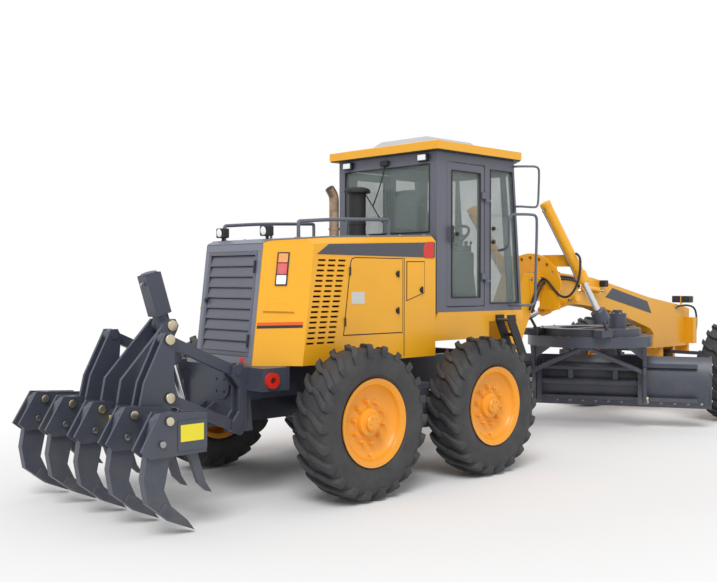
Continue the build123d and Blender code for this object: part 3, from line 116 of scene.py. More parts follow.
class GraderPaint(bpy.types.PropertyGroup):
    """Paint and surface colours"""

    body: bpy.props.FloatVectorProperty(
        name="Body",
        description="Yellow paint",
        default=(0.89, 0.42, 0.012),
        subtype="COLOR",
        size=3,
    )
    wheel: bpy.props.FloatVectorProperty(
        name="Wheels",
        description="Warmer yellow of the rims",
        default=(0.87, 0.34, 0.008),
        subtype="COLOR",
        size=3,
    )
    chassis: bpy.props.FloatVectorProperty(
        name="Chassis",
        description="Dark blue grey paint",
        default=(0.052, 0.060, 0.086),
        subtype="COLOR",
        size=3,
    )
    cab: bpy.props.FloatVectorProperty(
        name="Cab",
        description="Grey paint of the cab",
        default=(0.115, 0.120, 0.155),
        subtype="COLOR",
        size=3,
    )
    deck: bpy.props.FloatVectorProperty(
        name="Deck",
        description="Lighter grey of the hood's top",
        default=(0.185, 0.200, 0.255),
        subtype="COLOR",
        size=3,
    )
    tyre: bpy.props.FloatVectorProperty(
        name="Tyres",
        description="Dark rubber",
        default=(0.030, 0.031, 0.035),
        subtype="COLOR",
        size=3,
    )
    dust: bpy.props.FloatProperty(
        name="Dust",
        description="Dust on the low surfaces",
        default=0.16,
        min=0,
        max=1,
        subtype="FACTOR",
    )


def sizes():
    return bpy.context.scene.grader_sizes


def paint():
    return bpy.context.scene.grader_paint


# Shared surface effects


def set_inputs(tree, node, values):
    """Links or sets a node's inputs, by name or number."""
    for key, value in values.items():
        if isinstance(value, bpy.types.NodeSocket):
            tree.links.new(value, node.inputs[key])
        else:
            node.inputs[key].default_value = value


def add_node(tree, kind, values=None, **settings):
    """A node with its settings and inputs."""
    node = tree.nodes.new(kind)
    for key, value in settings.items():
        setattr(node, key, value)
    set_inputs(tree, node, values or {})
    return node


def surface_place(tree):
    return add_node(tree, "ShaderNodeTexCoord").outputs["Object"]


def noise(tree, place, scale, **settings):
    values = {key.title(): value for key, value in settings.items()}
    return add_node(
        tree, "ShaderNodeTexNoise", {"Vector": place, "Scale": scale, **values}
    ).outputs["Fac"]


def remap(tree, value, low, high, start=0.0, end=1.0):
    """A value spread from one span over another."""
    values = {"Value": value, 1: low, 2: high, 3: start, 4: end}
    return add_node(tree, "ShaderNodeMapRange", values).outputs[0]


def compute(tree, operation, *values):
    return add_node(tree, "ShaderNodeMath", dict(enumerate(values)), operation=operation).outputs[0]


def between_colours(tree, share, first, second):
    values = {0: share, 6: first, 7: second}
    return add_node(tree, "ShaderNodeMix", values, data_type="RGBA").outputs[2]


def bumped(tree, strength, distance, height):
    values = {"Strength": strength, "Distance": distance, "Height": height}
    return add_node(tree, "ShaderNodeBump", values).outputs[0]


def effect(name, inputs, build):
    """A node group, made once, that gives a colour, a roughness and a normal."""
    if name in bpy.data.node_groups:
        return bpy.data.node_groups[name]
    group = bpy.data.node_groups.new(name, "ShaderNodeTree")
    for label, default in inputs.items():
        kind = "NodeSocketFloat" if isinstance(default, float) else "NodeSocketColor"
        group.interface.new_socket(
            name=label, in_out="INPUT", socket_type=kind
        ).default_value = default
    for label, kind in (("Color", "Color"), ("Roughness", "Float"), ("Normal", "Vector")):
        group.interface.new_socket(name=label, in_out="OUTPUT", socket_type=f"NodeSocket{kind}")
    given = group.nodes.new("NodeGroupInput").outputs
    end = group.nodes.new("NodeGroupOutput")
    set_inputs(group, end, dict(zip(("Color", "Roughness", "Normal"), build(group, given))))
    return group


def low_dust(tree, place, top, amount):
    """A mask of settled dust that grows towards the ground and breaks up in patches."""
    parts = add_node(tree, "ShaderNodeSeparateXYZ", {0: place})
    height = remap(tree, parts.outputs["Z"], top, 0.1)
    patch = noise(tree, place, 5.5, detail=6.0, roughness=0.62)
    both = compute(tree, "MULTIPLY", height, remap(tree, patch, 0.38, 0.68, 0.15))
    return compute(tree, "MULTIPLY", both, amount)


def sprayed_paint(tree, given):
    """Tone that wanders, a faint orange peel, small chips and low dust."""
    place = surface_place(tree)
    tone = remap(tree, noise(tree, place, 1.7, detail=4.0), 0.3, 0.7, -1.0)
    value = compute(tree, "MULTIPLY_ADD", tone, given["Tone"], 1.0)
    toned = add_node(tree, "ShaderNodeHueSaturation", {"Value": value, "Color": given["Paint"]})
    specks = remap(tree, noise(tree, place, 34.0, detail=8.0, roughness=0.7), 0.66, 0.70)
    wide = remap(tree, noise(tree, place, 3.1, detail=3.0), 0.50, 0.62)
    chips = compute(tree, "MULTIPLY", compute(tree, "MULTIPLY", specks, wide), given["Chips"])
    chipped = between_colours(tree, chips, toned.outputs["Color"], given["Chip"])
    dust = low_dust(tree, place, given["Dust Top"], given["Dust"])
    smear = compute(tree, "MULTIPLY_ADD", noise(tree, place, 9.0, detail=5.0), 0.16, -0.08)
    rough = compute(tree, "ADD", smear, given["Gloss"])
    return (
        between_colours(tree, dust, chipped, (0.30, 0.25, 0.19, 1)),
        compute(tree, "MULTIPLY_ADD", dust, 0.5, rough),
        bumped(tree, given["Peel"], 0.002, noise(tree, place, 210.0, detail=2.0)),
    )


def moulded_rubber(tree, given):
    """Fine pits and scuffs that turn grey."""
    place = surface_place(tree)
    cloud = noise(tree, place, 4.2, detail=9.0, roughness=0.68)
    scuffs = compute(tree, "MULTIPLY", remap(tree, cloud, 0.42, 0.75), given["Scuffs"])
    return (
        between_colours(tree, scuffs, given["Rubber"], given["Scuff"]),
        remap(tree, cloud, 0.3, 0.7, 0.55, 0.8),
        bumped(tree, given["Pits"], 0.003, noise(tree, place, 130.0, detail=5.0)),
    )


def streaked_metal(tree, given):
    """Fine streaks in the roughness of bare metal, and stains in its tone."""
    place = surface_place(tree)
    stretch = add_node(tree, "ShaderNodeMapping", {"Vector": place, "Scale": (22.0, 22.0, 240.0)})
    lines = noise(tree, stretch.outputs[0], 1.0, detail=4.0)
    cloud = noise(tree, place, 12.0, detail=7.0)
    stains = compute(tree, "MULTIPLY", remap(tree, cloud, 0.46, 0.72), given["Stains"])
    return (
        between_colours(tree, stains, given["Metal"], given["Stain"]),
        compute(tree, "MULTIPLY_ADD", lines, 0.2, given["Gloss"]),
        bumped(tree, 0.06, 0.001, lines),
    )


# Materials


def fresh_material(name):
    """A material with its principled shader, and whether it is new."""
    if name in bpy.data.materials:
        return bpy.data.materials[name], None
    material = bpy.data.materials.new(name)
    material.use_nodes = True
    return material, material.node_tree.nodes["Principled BSDF"]


def use_effect(material, shader, group, values):
    """Places an effect in a material and feeds the shader from it."""
    tree = material.node_tree
    node = tree.nodes.new("ShaderNodeGroup")
    node.node_tree = group
    set_inputs(tree, node, values)
    for key in ("Color", "Roughness", "Normal"):
        tree.links.new(node.outputs[key], shader.inputs["Base Color" if key == "Color" else key])


def paint_material(
    name, colour, gloss=0.34, tone=0.035, chips=0.25, dust=1.0, coat=0.18, chip=(0.12, 0.12, 0.13)
):
    material, shader = fresh_material(name)
    if shader:
        values = {
            "Paint": (*colour, 1),
            "Chip": (*chip, 1),
            "Tone": tone,
            "Chips": chips,
            "Dust": dust * paint().dust,
            "Dust Top": 1.25,
            "Gloss": gloss,
            "Peel": 0.05,
        }
        use_effect(material, shader, effect("Sprayed paint", values, sprayed_paint), values)
        shader.inputs["Coat Weight"].default_value = coat
        shader.inputs["Coat Roughness"].default_value = 0.18
    return material


def rubber_material(name, colour, scuffs=0.3, pits=0.3):
    material, shader = fresh_material(name)
    if shader:
        values = {
            "Rubber": (*colour, 1), "Scuff": (0.16, 0.15, 0.14, 1), "Scuffs": scuffs, "Pits": pits
        }
        use_effect(material, shader, effect("Moulded rubber", values, moulded_rubber), values)
    return material


def metal_material(name, colour, stain=(0.25, 0.2, 0.16), stains=0.2, gloss=0.2):
    material, shader = fresh_material(name)
    if shader:
        values = {"Metal": (*colour, 1), "Stain": (*stain, 1), "Stains": stains, "Gloss": gloss}
        use_effect(material, shader, effect("Streaked metal", values, streaked_metal), values)
        shader.inputs["Metallic"].default_value = 1.0
    return material


def glass_material():
    """Thin tinted cab glass with faint smears."""
    material, shader = fresh_material("Tinted glass")
    if shader:
        tree = material.node_tree
        smear = noise(tree, surface_place(tree), 2.4, detail=6.0)
        values = {
            "Base Color": between_colours(
                tree, smear, (0.20, 0.27, 0.25, 1), (0.32, 0.38, 0.36, 1)
            ),
            "Roughness": remap(tree, smear, 0.35, 0.75, 0.01, 0.09),
            "Alpha": remap(tree, smear, 0.3, 0.8, 0.26, 0.40),
            "Specular IOR Level": 0.7,
        }
        set_inputs(tree, shader, values)
    return material


def lens_material(name, colour, glow=0.0):
    """Ribbed lamp lens."""
    material, shader = fresh_material(name)
    if shader:
        tree = material.node_tree
        values = {"Vector": surface_place(tree), "Scale": 90.0, "Distortion": 0.0}
        ribs = add_node(tree, "ShaderNodeTexWave", values, bands_direction="Z").outputs["Fac"]
        bright = (*[min(1.0, c * 1.25 + 0.01) for c in colour], 1)
        values = {
            "Base Color": between_colours(tree, ribs, (*colour, 1), bright),
            "Normal": bumped(tree, 0.3, 0.002, ribs),
            "Roughness": 0.12,
            "Coat Weight": 0.6,
            "Emission Color": (*colour, 1),
            "Emission Strength": glow,
        }
        set_inputs(tree, shader, values)
    return material


def fabric_material(name, colour):
    """Woven seat cloth."""
    material, shader = fresh_material(name)
    if shader:
        tree = material.node_tree
        place = surface_place(tree)
        weave = add_node(
            tree, "ShaderNodeTexChecker", {"Vector": place, "Scale": 320.0}
        ).outputs["Fac"]
        cloud = noise(tree, place, 14.0, detail=5.0)
        values = {
            "Base Color": between_colours(
                tree, cloud, (*colour, 1), (*[c * 1.7 for c in colour], 1)
            ),
            "Normal": bumped(tree, 0.4, 0.002, weave),
            "Roughness": 0.9,
            "Sheen Weight": 0.2,
        }
        set_inputs(tree, shader, values)
    return material


def painted(name, colour, *values, chip=(0.12, 0.12, 0.13)):
    """A maker of one paint; the colour is a key of the add-on's paints or a fixed one."""

    def make():
        fixed = tuple(getattr(paint(), colour)) if isinstance(colour, str) else colour
        return paint_material(name, fixed, *values, chip=chip)

    return make


# name and colour, then gloss, tone, chips, dust and coat
body_yellow = painted("Body yellow", "body", 0.33, 0.03, 0.0, 0.5)
wheel_yellow = painted("Wheel yellow", "wheel", 0.36, 0.04, 0.35, 0.9, chip=(0.28, 0.10, 0.02))
chassis_grey = painted(
    "Chassis blue grey", "chassis", 0.42, 0.06, 0.22, 1.0, 0.1, chip=(0.22, 0.23, 0.25)
)
worn_blue = painted("Worn blue grey", "chassis", 0.46, 0.10, 0.9, 1.6, 0.0, chip=(0.30, 0.29, 0.28))
cab_grey = painted("Cab grey", "cab", 0.40, 0.04, 0.0, 0.3, 0.1)
deck_grey = painted("Deck grey", "deck", 0.42, 0.04, 0.1, 0.3, 0.1)
black_paint = painted(
    "Black paint", (0.014, 0.015, 0.019), 0.5, 0.08, 0.15, 0.8, 0.0, chip=(0.10, 0.10, 0.11)
)
stripe_grey = painted("Stripe grey", (0.058, 0.062, 0.078), 0.34, 0.02, 0.0, 0.2)
stripe_orange = painted("Stripe orange", (0.83, 0.115, 0.008), 0.32, 0.02, 0.0, 0.3)
signal_red = painted("Signal red", (0.66, 0.022, 0.010), 0.32, 0.04, 0.1, 0.4)
plain_plate = painted(
    "Blank yellow plate", (0.86, 0.74, 0.02), 0.38, 0.05, 0.15, 0.6, chip=(0.4, 0.36, 0.2)
)
pale_plate = painted("Blank pale plate", (0.62, 0.62, 0.60), 0.38, 0.05, 0.15, 0.6)
unit_plastic = painted("Roof unit plastic", (0.50, 0.51, 0.52), 0.5, 0.04, 0.0, 0.0, 0.0)

BLACK_RUBBER = ("Moulded black", (0.016, 0.016, 0.018), 0.12, 0.12)
CHROME = ("Rod chrome", (0.72, 0.73, 0.75), (0.25, 0.2, 0.16), 0.08, 0.08)
WORN_STEEL = ("Worn steel", (0.36, 0.36, 0.37), (0.25, 0.2, 0.16), 0.45, 0.28)
ZINC = ("Zinc plate", (0.62, 0.56, 0.40), (0.40, 0.33, 0.18), 0.5, 0.26)
HEATED_STEEL = ("Heated steel", (0.42, 0.30, 0.20), (0.14, 0.09, 0.06), 0.8, 0.34)
WHITE_LENS = ("White lens", (0.78, 0.80, 0.82), 0.08)
RED_LENS = ("Red lens", (0.55, 0.015, 0.02), 0.05)
AMBER_LENS = ("Amber lens", (0.80, 0.20, 0.01), 0.05)
SEAT_CLOTH = ("Seat cloth", (0.022, 0.023, 0.026))


def moulded_black():
    return rubber_material(*BLACK_RUBBER)


def tyre_rubber():
    return rubber_material("Tyre rubber", tuple(paint().tyre), 0.34, 0.35)


def chrome():
    return metal_material(*CHROME)


def worn_steel():
    return metal_material(*WORN_STEEL)


def zinc():
    return metal_material(*ZINC)


FINISHES = {
    "body_yellow": body_yellow,
    "rim_yellow": wheel_yellow,
    "rail_grey": cab_grey,
    "frame_blue_grey": chassis_grey,
    "cab_grey": cab_grey,
    "deck_grey": deck_grey,
    "unit_grey": unit_plastic,
    "grille_black": black_paint,
    "stack_black": black_paint,
    "engine_dark": black_paint,
    "lug_red": signal_red,
    "lamp_red": black_paint,
    "cab_glass": glass_material,
    "seat_fabric": lambda: fabric_material(*SEAT_CLOTH),
    "step_rubber": moulded_black,
    "tyre_rubber": tyre_rubber,
    "rod_chrome": chrome,
}


# Modelling steps


def clear_selection():
    if bpy.context.object and bpy.context.object.mode != "OBJECT":
        bpy.ops.object.mode_set(mode="OBJECT")
    bpy.ops.object.select_all(action="DESELECT")


def pick(obj):
    """Selects one object alone and makes it the active one."""
    clear_selection()
    obj.select_set(True)
    bpy.context.view_layer.objects.active = obj
    return obj


def settle(obj):
    """Puts an object's place into its mesh."""
    pick(obj)
    bpy.ops.object.transform_apply(location=True, rotation=True, scale=True)
    return obj


def use_modifier(obj, kind, **settings):
    """Adds a modifier and applies it."""
    pick(obj)
    modifier = obj.modifiers.new(kind.title(), kind)
    for key, value in settings.items():
        setattr(modifier, key, value)
    bpy.ops.object.modifier_apply(modifier=modifier.name)
    return obj


def soften(obj, width, segments=2, angle=35):
    """Rounds the edges that turn by more than an angle."""
    return use_modifier(
        obj,
        "BEVEL",
        width=width,
        segments=segments,
        limit_method="ANGLE",
        angle_limit=radians(angle),
    )


def smooth(obj, angle=35):
    pick(obj)
    bpy.ops.object.shade_smooth_by_angle(angle=radians(angle))
    return obj


def outward(obj):
    """Turns every face outwards."""
    pick(obj)
    bpy.ops.object.mode_set(mode="EDIT")
    bpy.ops.mesh.select_all(action="SELECT")
    bpy.ops.mesh.remove_doubles(threshold=0.00002)
    bpy.ops.mesh.normals_make_consistent(inside=False)
    bpy.ops.object.mode_set(mode="OBJECT")
    return obj


def joined(parts):
    """One object from several."""
    clear_selection()
    for part in parts:
        part.select_set(True)
    bpy.context.view_layer.objects.active = parts[0]
    if len(parts) > 1:
        bpy.ops.object.join()
    return parts[0]


def copy_of(obj):
    """A copy with a mesh of its own."""
    pick(obj)
    bpy.ops.object.duplicate()
    return bpy.context.object


def moved(obj, matrix):
    """Moves the mesh of an object."""
    obj.matrix_world = matrix
    return settle(obj)


ORIGIN = Matrix.Identity(4)


def shift(x, y, z):
    return Matrix.Translation((x, y, z))


def turn(angle, axis):
    return Matrix.Rotation(radians(angle), 4, axis)


def facing(point, normal, spin=0.0):
    """A place whose Z looks along a direction."""
    quaternion = Vector(normal).to_track_quat("Z", "Y")
    return Matrix.Translation(point) @ quaternion.to_matrix().to_4x4() @ turn(spin, "Z")


def block(low, high, bevel=0.004):
    """A cuboid between two corners, with softened edges."""
    clear_selection()
    low, high = Vector(low), Vector(high)
    bpy.ops.mesh.primitive_cube_add(size=1, location=(low + high) / 2)
    obj = bpy.context.object
    obj.scale = high - low
    settle(obj)
    if bevel:
        soften(obj, bevel)
    return obj


def chain(points):
    """One vertex drawn out through a row of points."""
    clear_selection()
    points = [Vector(p) for p in points]
    bpy.ops.mesh.primitive_plane_add(size=0.01, location=points[0])
    obj = bpy.context.object
    settle(obj)
    bpy.ops.object.mode_set(mode="EDIT")
    bpy.ops.mesh.select_all(action="SELECT")
    bpy.ops.mesh.merge(type="CENTER")
    for a, b in zip(points, points[1:]):
        bpy.ops.mesh.extrude_region_move(TRANSFORM_OT_translate={"value": b - a})
    bpy.ops.object.mode_set(mode="OBJECT")
    return obj


def plate(outline, run, bevel=0.003, segments=2):
    """A plate from an outline of points, drawn out along a direction."""
    obj = chain(outline)
    bpy.ops.object.mode_set(mode="EDIT")
    bpy.ops.mesh.select_all(action="SELECT")
    bpy.ops.mesh.edge_face_add()
    bpy.ops.mesh.extrude_region_move(TRANSFORM_OT_translate={"value": Vector(run)})
    bpy.ops.object.mode_set(mode="OBJECT")
    outward(obj)
    if bevel:
        soften(obj, bevel, segments)
    return obj


def side_plate(outline, y_low, y_high, bevel=0.003, segments=2):
    """A plate seen from the side."""
    return plate([(x, y_low, z) for x, z in outline], (0, y_high - y_low, 0), bevel, segments)


def turned(profile, place=None, steps=24, closed=False):
    """A turned piece about its own Z, from a profile of radius and height."""
    rows = [(max(r, 0.0), 0, z) for r, z in profile]
    obj = chain(rows + ([rows[0]] if closed else []))
    bpy.ops.object.mode_set(mode="EDIT")
    bpy.ops.mesh.select_all(action="SELECT")
    bpy.ops.mesh.spin(steps=steps, angle=2 * pi, center=(0, 0, 0), axis=(0, 0, 1))
    bpy.ops.object.mode_set(mode="OBJECT")
    outward(obj)
    if place is not None:
        moved(obj, place)
    return obj


def tube(points, radius, order=3, resolution=6, sides=3, ends=True):
    """A round tube along a smooth line."""
    curve = bpy.data.curves.new("line", "CURVE")
    curve.dimensions = "3D"
    spline = curve.splines.new("NURBS" if order > 2 else "POLY")
    spline.points.add(len(points) - 1)
    for point, place in zip(spline.points, points):
        point.co = (*place, 1)
    if order > 2:
        spline.order_u = order
        spline.use_endpoint_u = True
        spline.resolution_u = resolution
    curve.bevel_depth = radius
    curve.bevel_resolution = sides
    curve.use_fill_caps = ends
    obj = bpy.data.objects.new("line", curve)
    bpy.context.scene.collection.objects.link(obj)
    pick(obj)
    bpy.ops.object.convert(target="MESH")
    return smooth(outward(bpy.context.object), 50)


def bolt(place, width=None, height=0.014, collar=True):
    """A hexagon bolt head on its washer."""
    width = width or sizes().bolt_width
    r = width / 2
    profile = [(0, height), (r * 0.86, height), (r * 1.06, height * 0.8), (r * 1.06, 0.002)]
    head = turned(profile + [(0, 0.002)], steps=6)
    parts = [head]
    if collar:
        parts.append(
            turned([(0, 0.004), (r * 1.4, 0.004), (r * 1.5, 0.002), (r * 1.5, 0), (0, 0)], steps=14)
        )
    return moved(joined(parts), place)


def repeated(piece, places):
    """Copies of one piece at each place, as one object; the first goes as well."""
    parts = [moved(copy_of(piece), place) for place in places]
    bpy.data.objects.remove(piece)
    return joined(parts)


def fit(obj, name, body, slot, material, *stands_for):
    """Names a finished piece, gives it its material and sets it on its body."""
    clear_selection()
    obj.name = name
    obj.data.name = name
    obj.data.materials.clear()
    obj.data.materials.append(material)
    for face in obj.data.polygons:
        face.material_index = 0
    if body:
        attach(obj, body)
    if stands_for:
        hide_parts(*stands_for)
    return obj


def fasten(name, body, spots, width=None, height=0.014, collar=True, place=None):
    """Bolts of worn steel, as one piece."""
    bolts = repeated(bolt(ORIGIN, width, height, collar), spots)
    if place is not None:
        moved(bolts, place)
    fit(bolts, name, body, "rod_chrome", worn_steel())


def around(count, radius, start=0.0):
    """The angle and place of each of some points spread evenly on a circle."""
    for number in range(count):
        angle = radians(360.0 / count * number + start)
        yield angle, radius * cos(angle), radius * sin(angle)


def flank(outline, side, near, far, bevel=0.003, segments=2):
    """A plate on one side of the machine, between two distances from its middle."""
    low, high = sorted((side * near, side * far))
    return side_plate(outline, low, high, bevel, segments)


def on_wheels(model, kind, slot, finish):
    """Copies a tyre or rim to the six wheels, in place of their solids."""
    for name, x, y, side in WHEELS:
        place = shift(x, y, AXLE_HEIGHT) @ turn(0 if side > 0 else 180, "Z")
        wheel = moved(copy_of(model), place)
        fit(wheel, f"{kind}_{name}", f"wheel_{name}", slot, finish(), f"{kind.lower()}_{name}")
    bpy.data.objects.remove(model)


# Stage


class GRADER_OT_stage(bpy.types.Operator):
    """Sets the floor, the lights, the sky and the camera"""

    bl_idname = "grader.stage"
    bl_label = "Stage"

    def execute(self, context):
        scene = context.scene
        scene.view_settings.view_transform = "Standard"
        camera = bpy.data.cameras.new("Camera")
        camera.lens = FOCAL_LENGTH / PHOTO_WIDTH * SENSOR_WIDTH
        camera.sensor_width = SENSOR_WIDTH
        camera.clip_end = 300
        holder = bpy.data.objects.new("Camera", camera)
        holder.location = CAMERA_PLACE
        holder.rotation_euler = [radians(angle) for angle in CAMERA_TURN]
        scene.collection.objects.link(holder)
        scene.camera = holder

        clear_selection()
        bpy.ops.mesh.primitive_circle_add(
            vertices=64, radius=90, fill_type="NGON", location=(2, 0, -0.004)
        )
        floor = settle(context.object)
        floor.name = "Floor"
        floor.data.materials.append(self.floor_finish())

        sun = bpy.data.lights.new("Sun", "SUN")
        sun.energy = 1.75
        sun.angle = radians(28)
        sun_holder = bpy.data.objects.new("Sun", sun)
        sun_holder.rotation_euler = (radians(38), radians(-20), radians(-28))
        scene.collection.objects.link(sun_holder)

        sky = scene.world or bpy.data.worlds.new("Sky")
        scene.world = sky
        sky.use_nodes = True
        tree = sky.node_tree
        tree.nodes.clear()
        path = tree.nodes.new("ShaderNodeLightPath").outputs
        seen = compute(tree, "MAXIMUM", path["Is Camera Ray"], path["Is Glossy Ray"])
        seen = compute(tree, "MAXIMUM", seen, path["Is Transmission Ray"])
        strength = remap(tree, seen, 0.0, 1.0, 0.66)
        background = add_node(
            tree, "ShaderNodeBackground", {"Color": (1, 1, 1, 1), "Strength": strength}
        )
        output = tree.nodes.new("ShaderNodeOutputWorld")
        tree.links.new(background.outputs[0], output.inputs[0])
        return {"FINISHED"}

    def floor_finish(self):
        """Pale floor that keeps the shadow near the machine and fades to white."""
        material = bpy.data.materials.new("Studio floor")
        material.use_nodes = True
        tree = material.node_tree
        tree.nodes.clear()
        place = surface_place(tree)
        centre = add_node(
            tree, "ShaderNodeVectorMath", {0: place, 1: (-2.0, 0.0, 0.0)}, operation="ADD"
        )
        values = {0: centre.outputs[0], 1: (0.75, 1.2, 0.0)}
        flat = add_node(tree, "ShaderNodeVectorMath", values, operation="MULTIPLY")
        reach = add_node(tree, "ShaderNodeVectorMath", {0: flat.outputs[0]}, operation="LENGTH")
        values = {"Value": reach.outputs["Value"], 1: 3.4, 2: 6.5, 3: 0.0, 4: 1.0}
        fade = add_node(
            tree, "ShaderNodeMapRange", values, interpolation_type="SMOOTHSTEP"
        ).outputs[0]
        path = tree.nodes.new("ShaderNodeLightPath").outputs
        seen = compute(tree, "MULTIPLY", path["Is Camera Ray"], fade)
        tint = between_colours(
            tree, noise(tree, place, 0.6), (0.86, 0.86, 0.865, 1), (0.89, 0.89, 0.89, 1)
        )
        matt = add_node(tree, "ShaderNodeBsdfDiffuse", {"Color": tint})
        white = add_node(tree, "ShaderNodeEmission", {"Color": (1, 1, 1, 1), "Strength": 1.0})
        mixed = add_node(
            tree, "ShaderNodeMixShader", {0: seen, 1: matt.outputs[0], 2: white.outputs[0]}
        )
        output = tree.nodes.new("ShaderNodeOutputMaterial")
        tree.links.new(mixed.outputs[0], output.inputs[0])
        return material


class GRADER_OT_finishes(bpy.types.Operator):
    """Gives every solid of the frame its paint, rubber, glass or metal"""

    bl_idname = "grader.finishes"
    bl_label = "Finishes"

    def execute(self, context):
        for part in frame["record"]["subparts"]:
            obj = nodes[part["node"]]
            obj.data.materials.clear()
            obj.data.materials.append(FINISHES[part["material_slot"]]())
        return {"FINISHED"}


# Wheels


class GRADER_OT_tyres(bpy.types.Operator):
    """Models one tyre with its slanted lugs and copies it to the six wheels"""

    bl_idname = "grader.tyres"
    bl_label = "Tyres"

    def execute(self, context):
        half = (
            (0.3268, 0.000), (0.3268, 0.122), (0.3470, 0.1275), (0.3640, 0.1380), (0.3760, 0.1470),
            (0.3830, 0.1535), (0.3890, 0.1535), (0.4050, 0.1600), (0.4400, 0.1665),
            (0.4800, 0.1680), (0.5200, 0.1640), (0.5450, 0.1555), (0.5640, 0.1400),
            (0.5770, 0.1150), (0.5840, 0.0800), (0.5870, 0.0400), (0.5880, 0.0000),
        )
        profile = [(r, -z) for r, z in half] + [(r, z) for r, z in reversed(half[1:-1])]
        carcass = turned(profile, turn(-90, "X"), sizes().tyre_steps, closed=True)
        lug = self.lug()
        step = 360.0 / sizes().lug_count
        parts = [carcass]
        for number in range(sizes().lug_count):
            parts.append(moved(copy_of(lug), turn(step * number, "Y")))
            parts.append(moved(copy_of(lug), turn(step * (number + 0.5), "Y") @ turn(180, "Z")))
        bpy.data.objects.remove(lug)
        on_wheels(smooth(joined(parts), 32), "Tyre", "tyre_rubber", tyre_rubber)
        return {"FINISHED"}

    def lug(self):
        """One lug at the tyre's top: a bar run outwards over the tread and the shoulder."""
        # columns: place across, place along, width, middle height, height
        stations = (
            (-0.012, -0.050, 0.034, 0.5955, 0.028), (0.022, -0.040, 0.048, 0.5995, 0.036),
            (0.060, -0.018, 0.054, 0.5985, 0.038), (0.100, 0.014, 0.060, 0.5935, 0.046),
            (0.134, 0.046, 0.064, 0.5760, 0.062), (0.156, 0.066, 0.066, 0.5590, 0.076),
            (0.1685, 0.074, 0.060, 0.5480, 0.070),
        )
        clear_selection()
        y, x, width, z, height = stations[0]
        bpy.ops.mesh.primitive_plane_add(size=1, location=(x, y, z), rotation=(radians(90), 0, 0))
        obj = bpy.context.object
        obj.scale = (width, height, 1)
        settle(obj)
        bpy.ops.object.mode_set(mode="EDIT")
        bpy.ops.mesh.select_all(action="SELECT")
        for (y0, x0, w0, z0, h0), (y1, x1, w1, z1, h1) in zip(stations, stations[1:]):
            bpy.ops.mesh.extrude_region_move(
                TRANSFORM_OT_translate={"value": (x1 - x0, y1 - y0, z1 - z0)}
            )
            bpy.ops.transform.resize(value=(w1 / w0, 1, h1 / h0), center_override=(x1, y1, z1))
        bpy.ops.object.mode_set(mode="OBJECT")
        outward(obj)
        return soften(obj, 0.006, 2, 40)


class GRADER_OT_rims(bpy.types.Operator):
    """Turns one dished rim with its nuts and hub cap and copies it to the six wheels"""

    bl_idname = "grader.rims"
    bl_label = "Rims"

    def execute(self, context):
        profile = (
            (0.0000, 0.1400), (0.0500, 0.1400), (0.0640, 0.1370), (0.0700, 0.1290),
            (0.0710, 0.1060), (0.0760, 0.1010), (0.0980, 0.0990), (0.1080, 0.0930),
            (0.1130, 0.0800), (0.1180, 0.0600), (0.1260, 0.0560), (0.2300, 0.0560),
            (0.2500, 0.0600), (0.2680, 0.0720), (0.2880, 0.0900), (0.2980, 0.1060),
            (0.3020, 0.1240), (0.3060, 0.1300), (0.3180, 0.1330), (0.3260, 0.1400),
            (0.3400, 0.1425), (0.3470, 0.1480), (0.3510, 0.1490), (0.3520, 0.1450),
            (0.3500, 0.1370), (0.3400, 0.1330), (0.3262, 0.1200), (0.3262, -0.1360),
            (0.3510, -0.1380), (0.3520, -0.1470), (0.3460, -0.1495), (0.3300, -0.1440),
            (0.3080, -0.1360), (0.3080, 0.0400), (0.1120, 0.0400), (0.1120, -0.0600),
            (0.0502, -0.0600), (0.0502, 0.0505), (0.0000, 0.0505),
        )
        disc = turned(profile, turn(-90, "X"), 72)
        nut = bolt(ORIGIN, 0.034, 0.024)
        stud = turned([(0, 0.040), (0.009, 0.040), (0.011, 0.037), (0.011, 0), (0, 0)], steps=10)
        out = (0, 1, 0)
        ring_of_nuts = around(sizes().nut_count, sizes().nut_circle, 9)
        spots = [facing((u, 0.056, v), out, degrees(angle)) for angle, u, v in ring_of_nuts]
        nuts = repeated(joined([nut, stud]), spots)
        spots = [facing((u, 0.140, v), out) for _, u, v in around(6, 0.046)]
        cap_bolts = repeated(bolt(ORIGIN, 0.014, 0.008), spots)
        valve = tube([(0.0, 0.060, -0.262), (0.0, 0.085, -0.262), (0.012, 0.100, -0.250)], 0.006)
        rim = smooth(joined([disc, nuts, cap_bolts, valve]), 30)
        on_wheels(rim, "Rim", "rim_yellow", wheel_yellow)
        return {"FINISHED"}


# Places on the machine


HOOD_SIDE = 0.680
BLADE_PLACE = shift(CIRCLE_ALONG, CIRCLE_ACROSS, 0) @ turn(28, "Z")
REAR_UP = Vector((0.120, 0, 0.985)).normalized()
REAR_OUT = Vector((-REAR_UP.z, 0, REAR_UP.x))
REAR_MIDDLE = Vector((-1.330, 0, 1.5525))


def deck_at(x):
    """Height of the hood's top."""
    return 2.095 + 0.050 / 1.290 * (x + 0.8)


def on_rear(y, up, out=0.0):
    """A point of the hood's leaning rear face."""
    return REAR_MIDDLE + Vector((0, y, 0)) + REAR_UP * up + REAR_OUT * out


def on_corner(side, share, z, out=0.0):
    """A point of the hood's slanted corner, by its share of the way forward."""
    lean = (z - 1.060) * 0.1218
    normal = Vector((-0.294, side * 0.280, 0.1218 * 0.294)).normalized()
    base = Vector((-1.390 + 0.280 * share + lean, side * (0.386 + 0.294 * share), z))
    return base + normal * out


def corner_plate(side, corners, start, thickness, bevel=0.0015):
    """A plate on the slanted corner from shares of the way forward and heights."""
    outer = on_corner(side, 0, 1.5, 1) - on_corner(side, 0, 1.5, 0)
    return plate([on_corner(side, u, z, start) for u, z in corners], outer * thickness, bevel, 1)


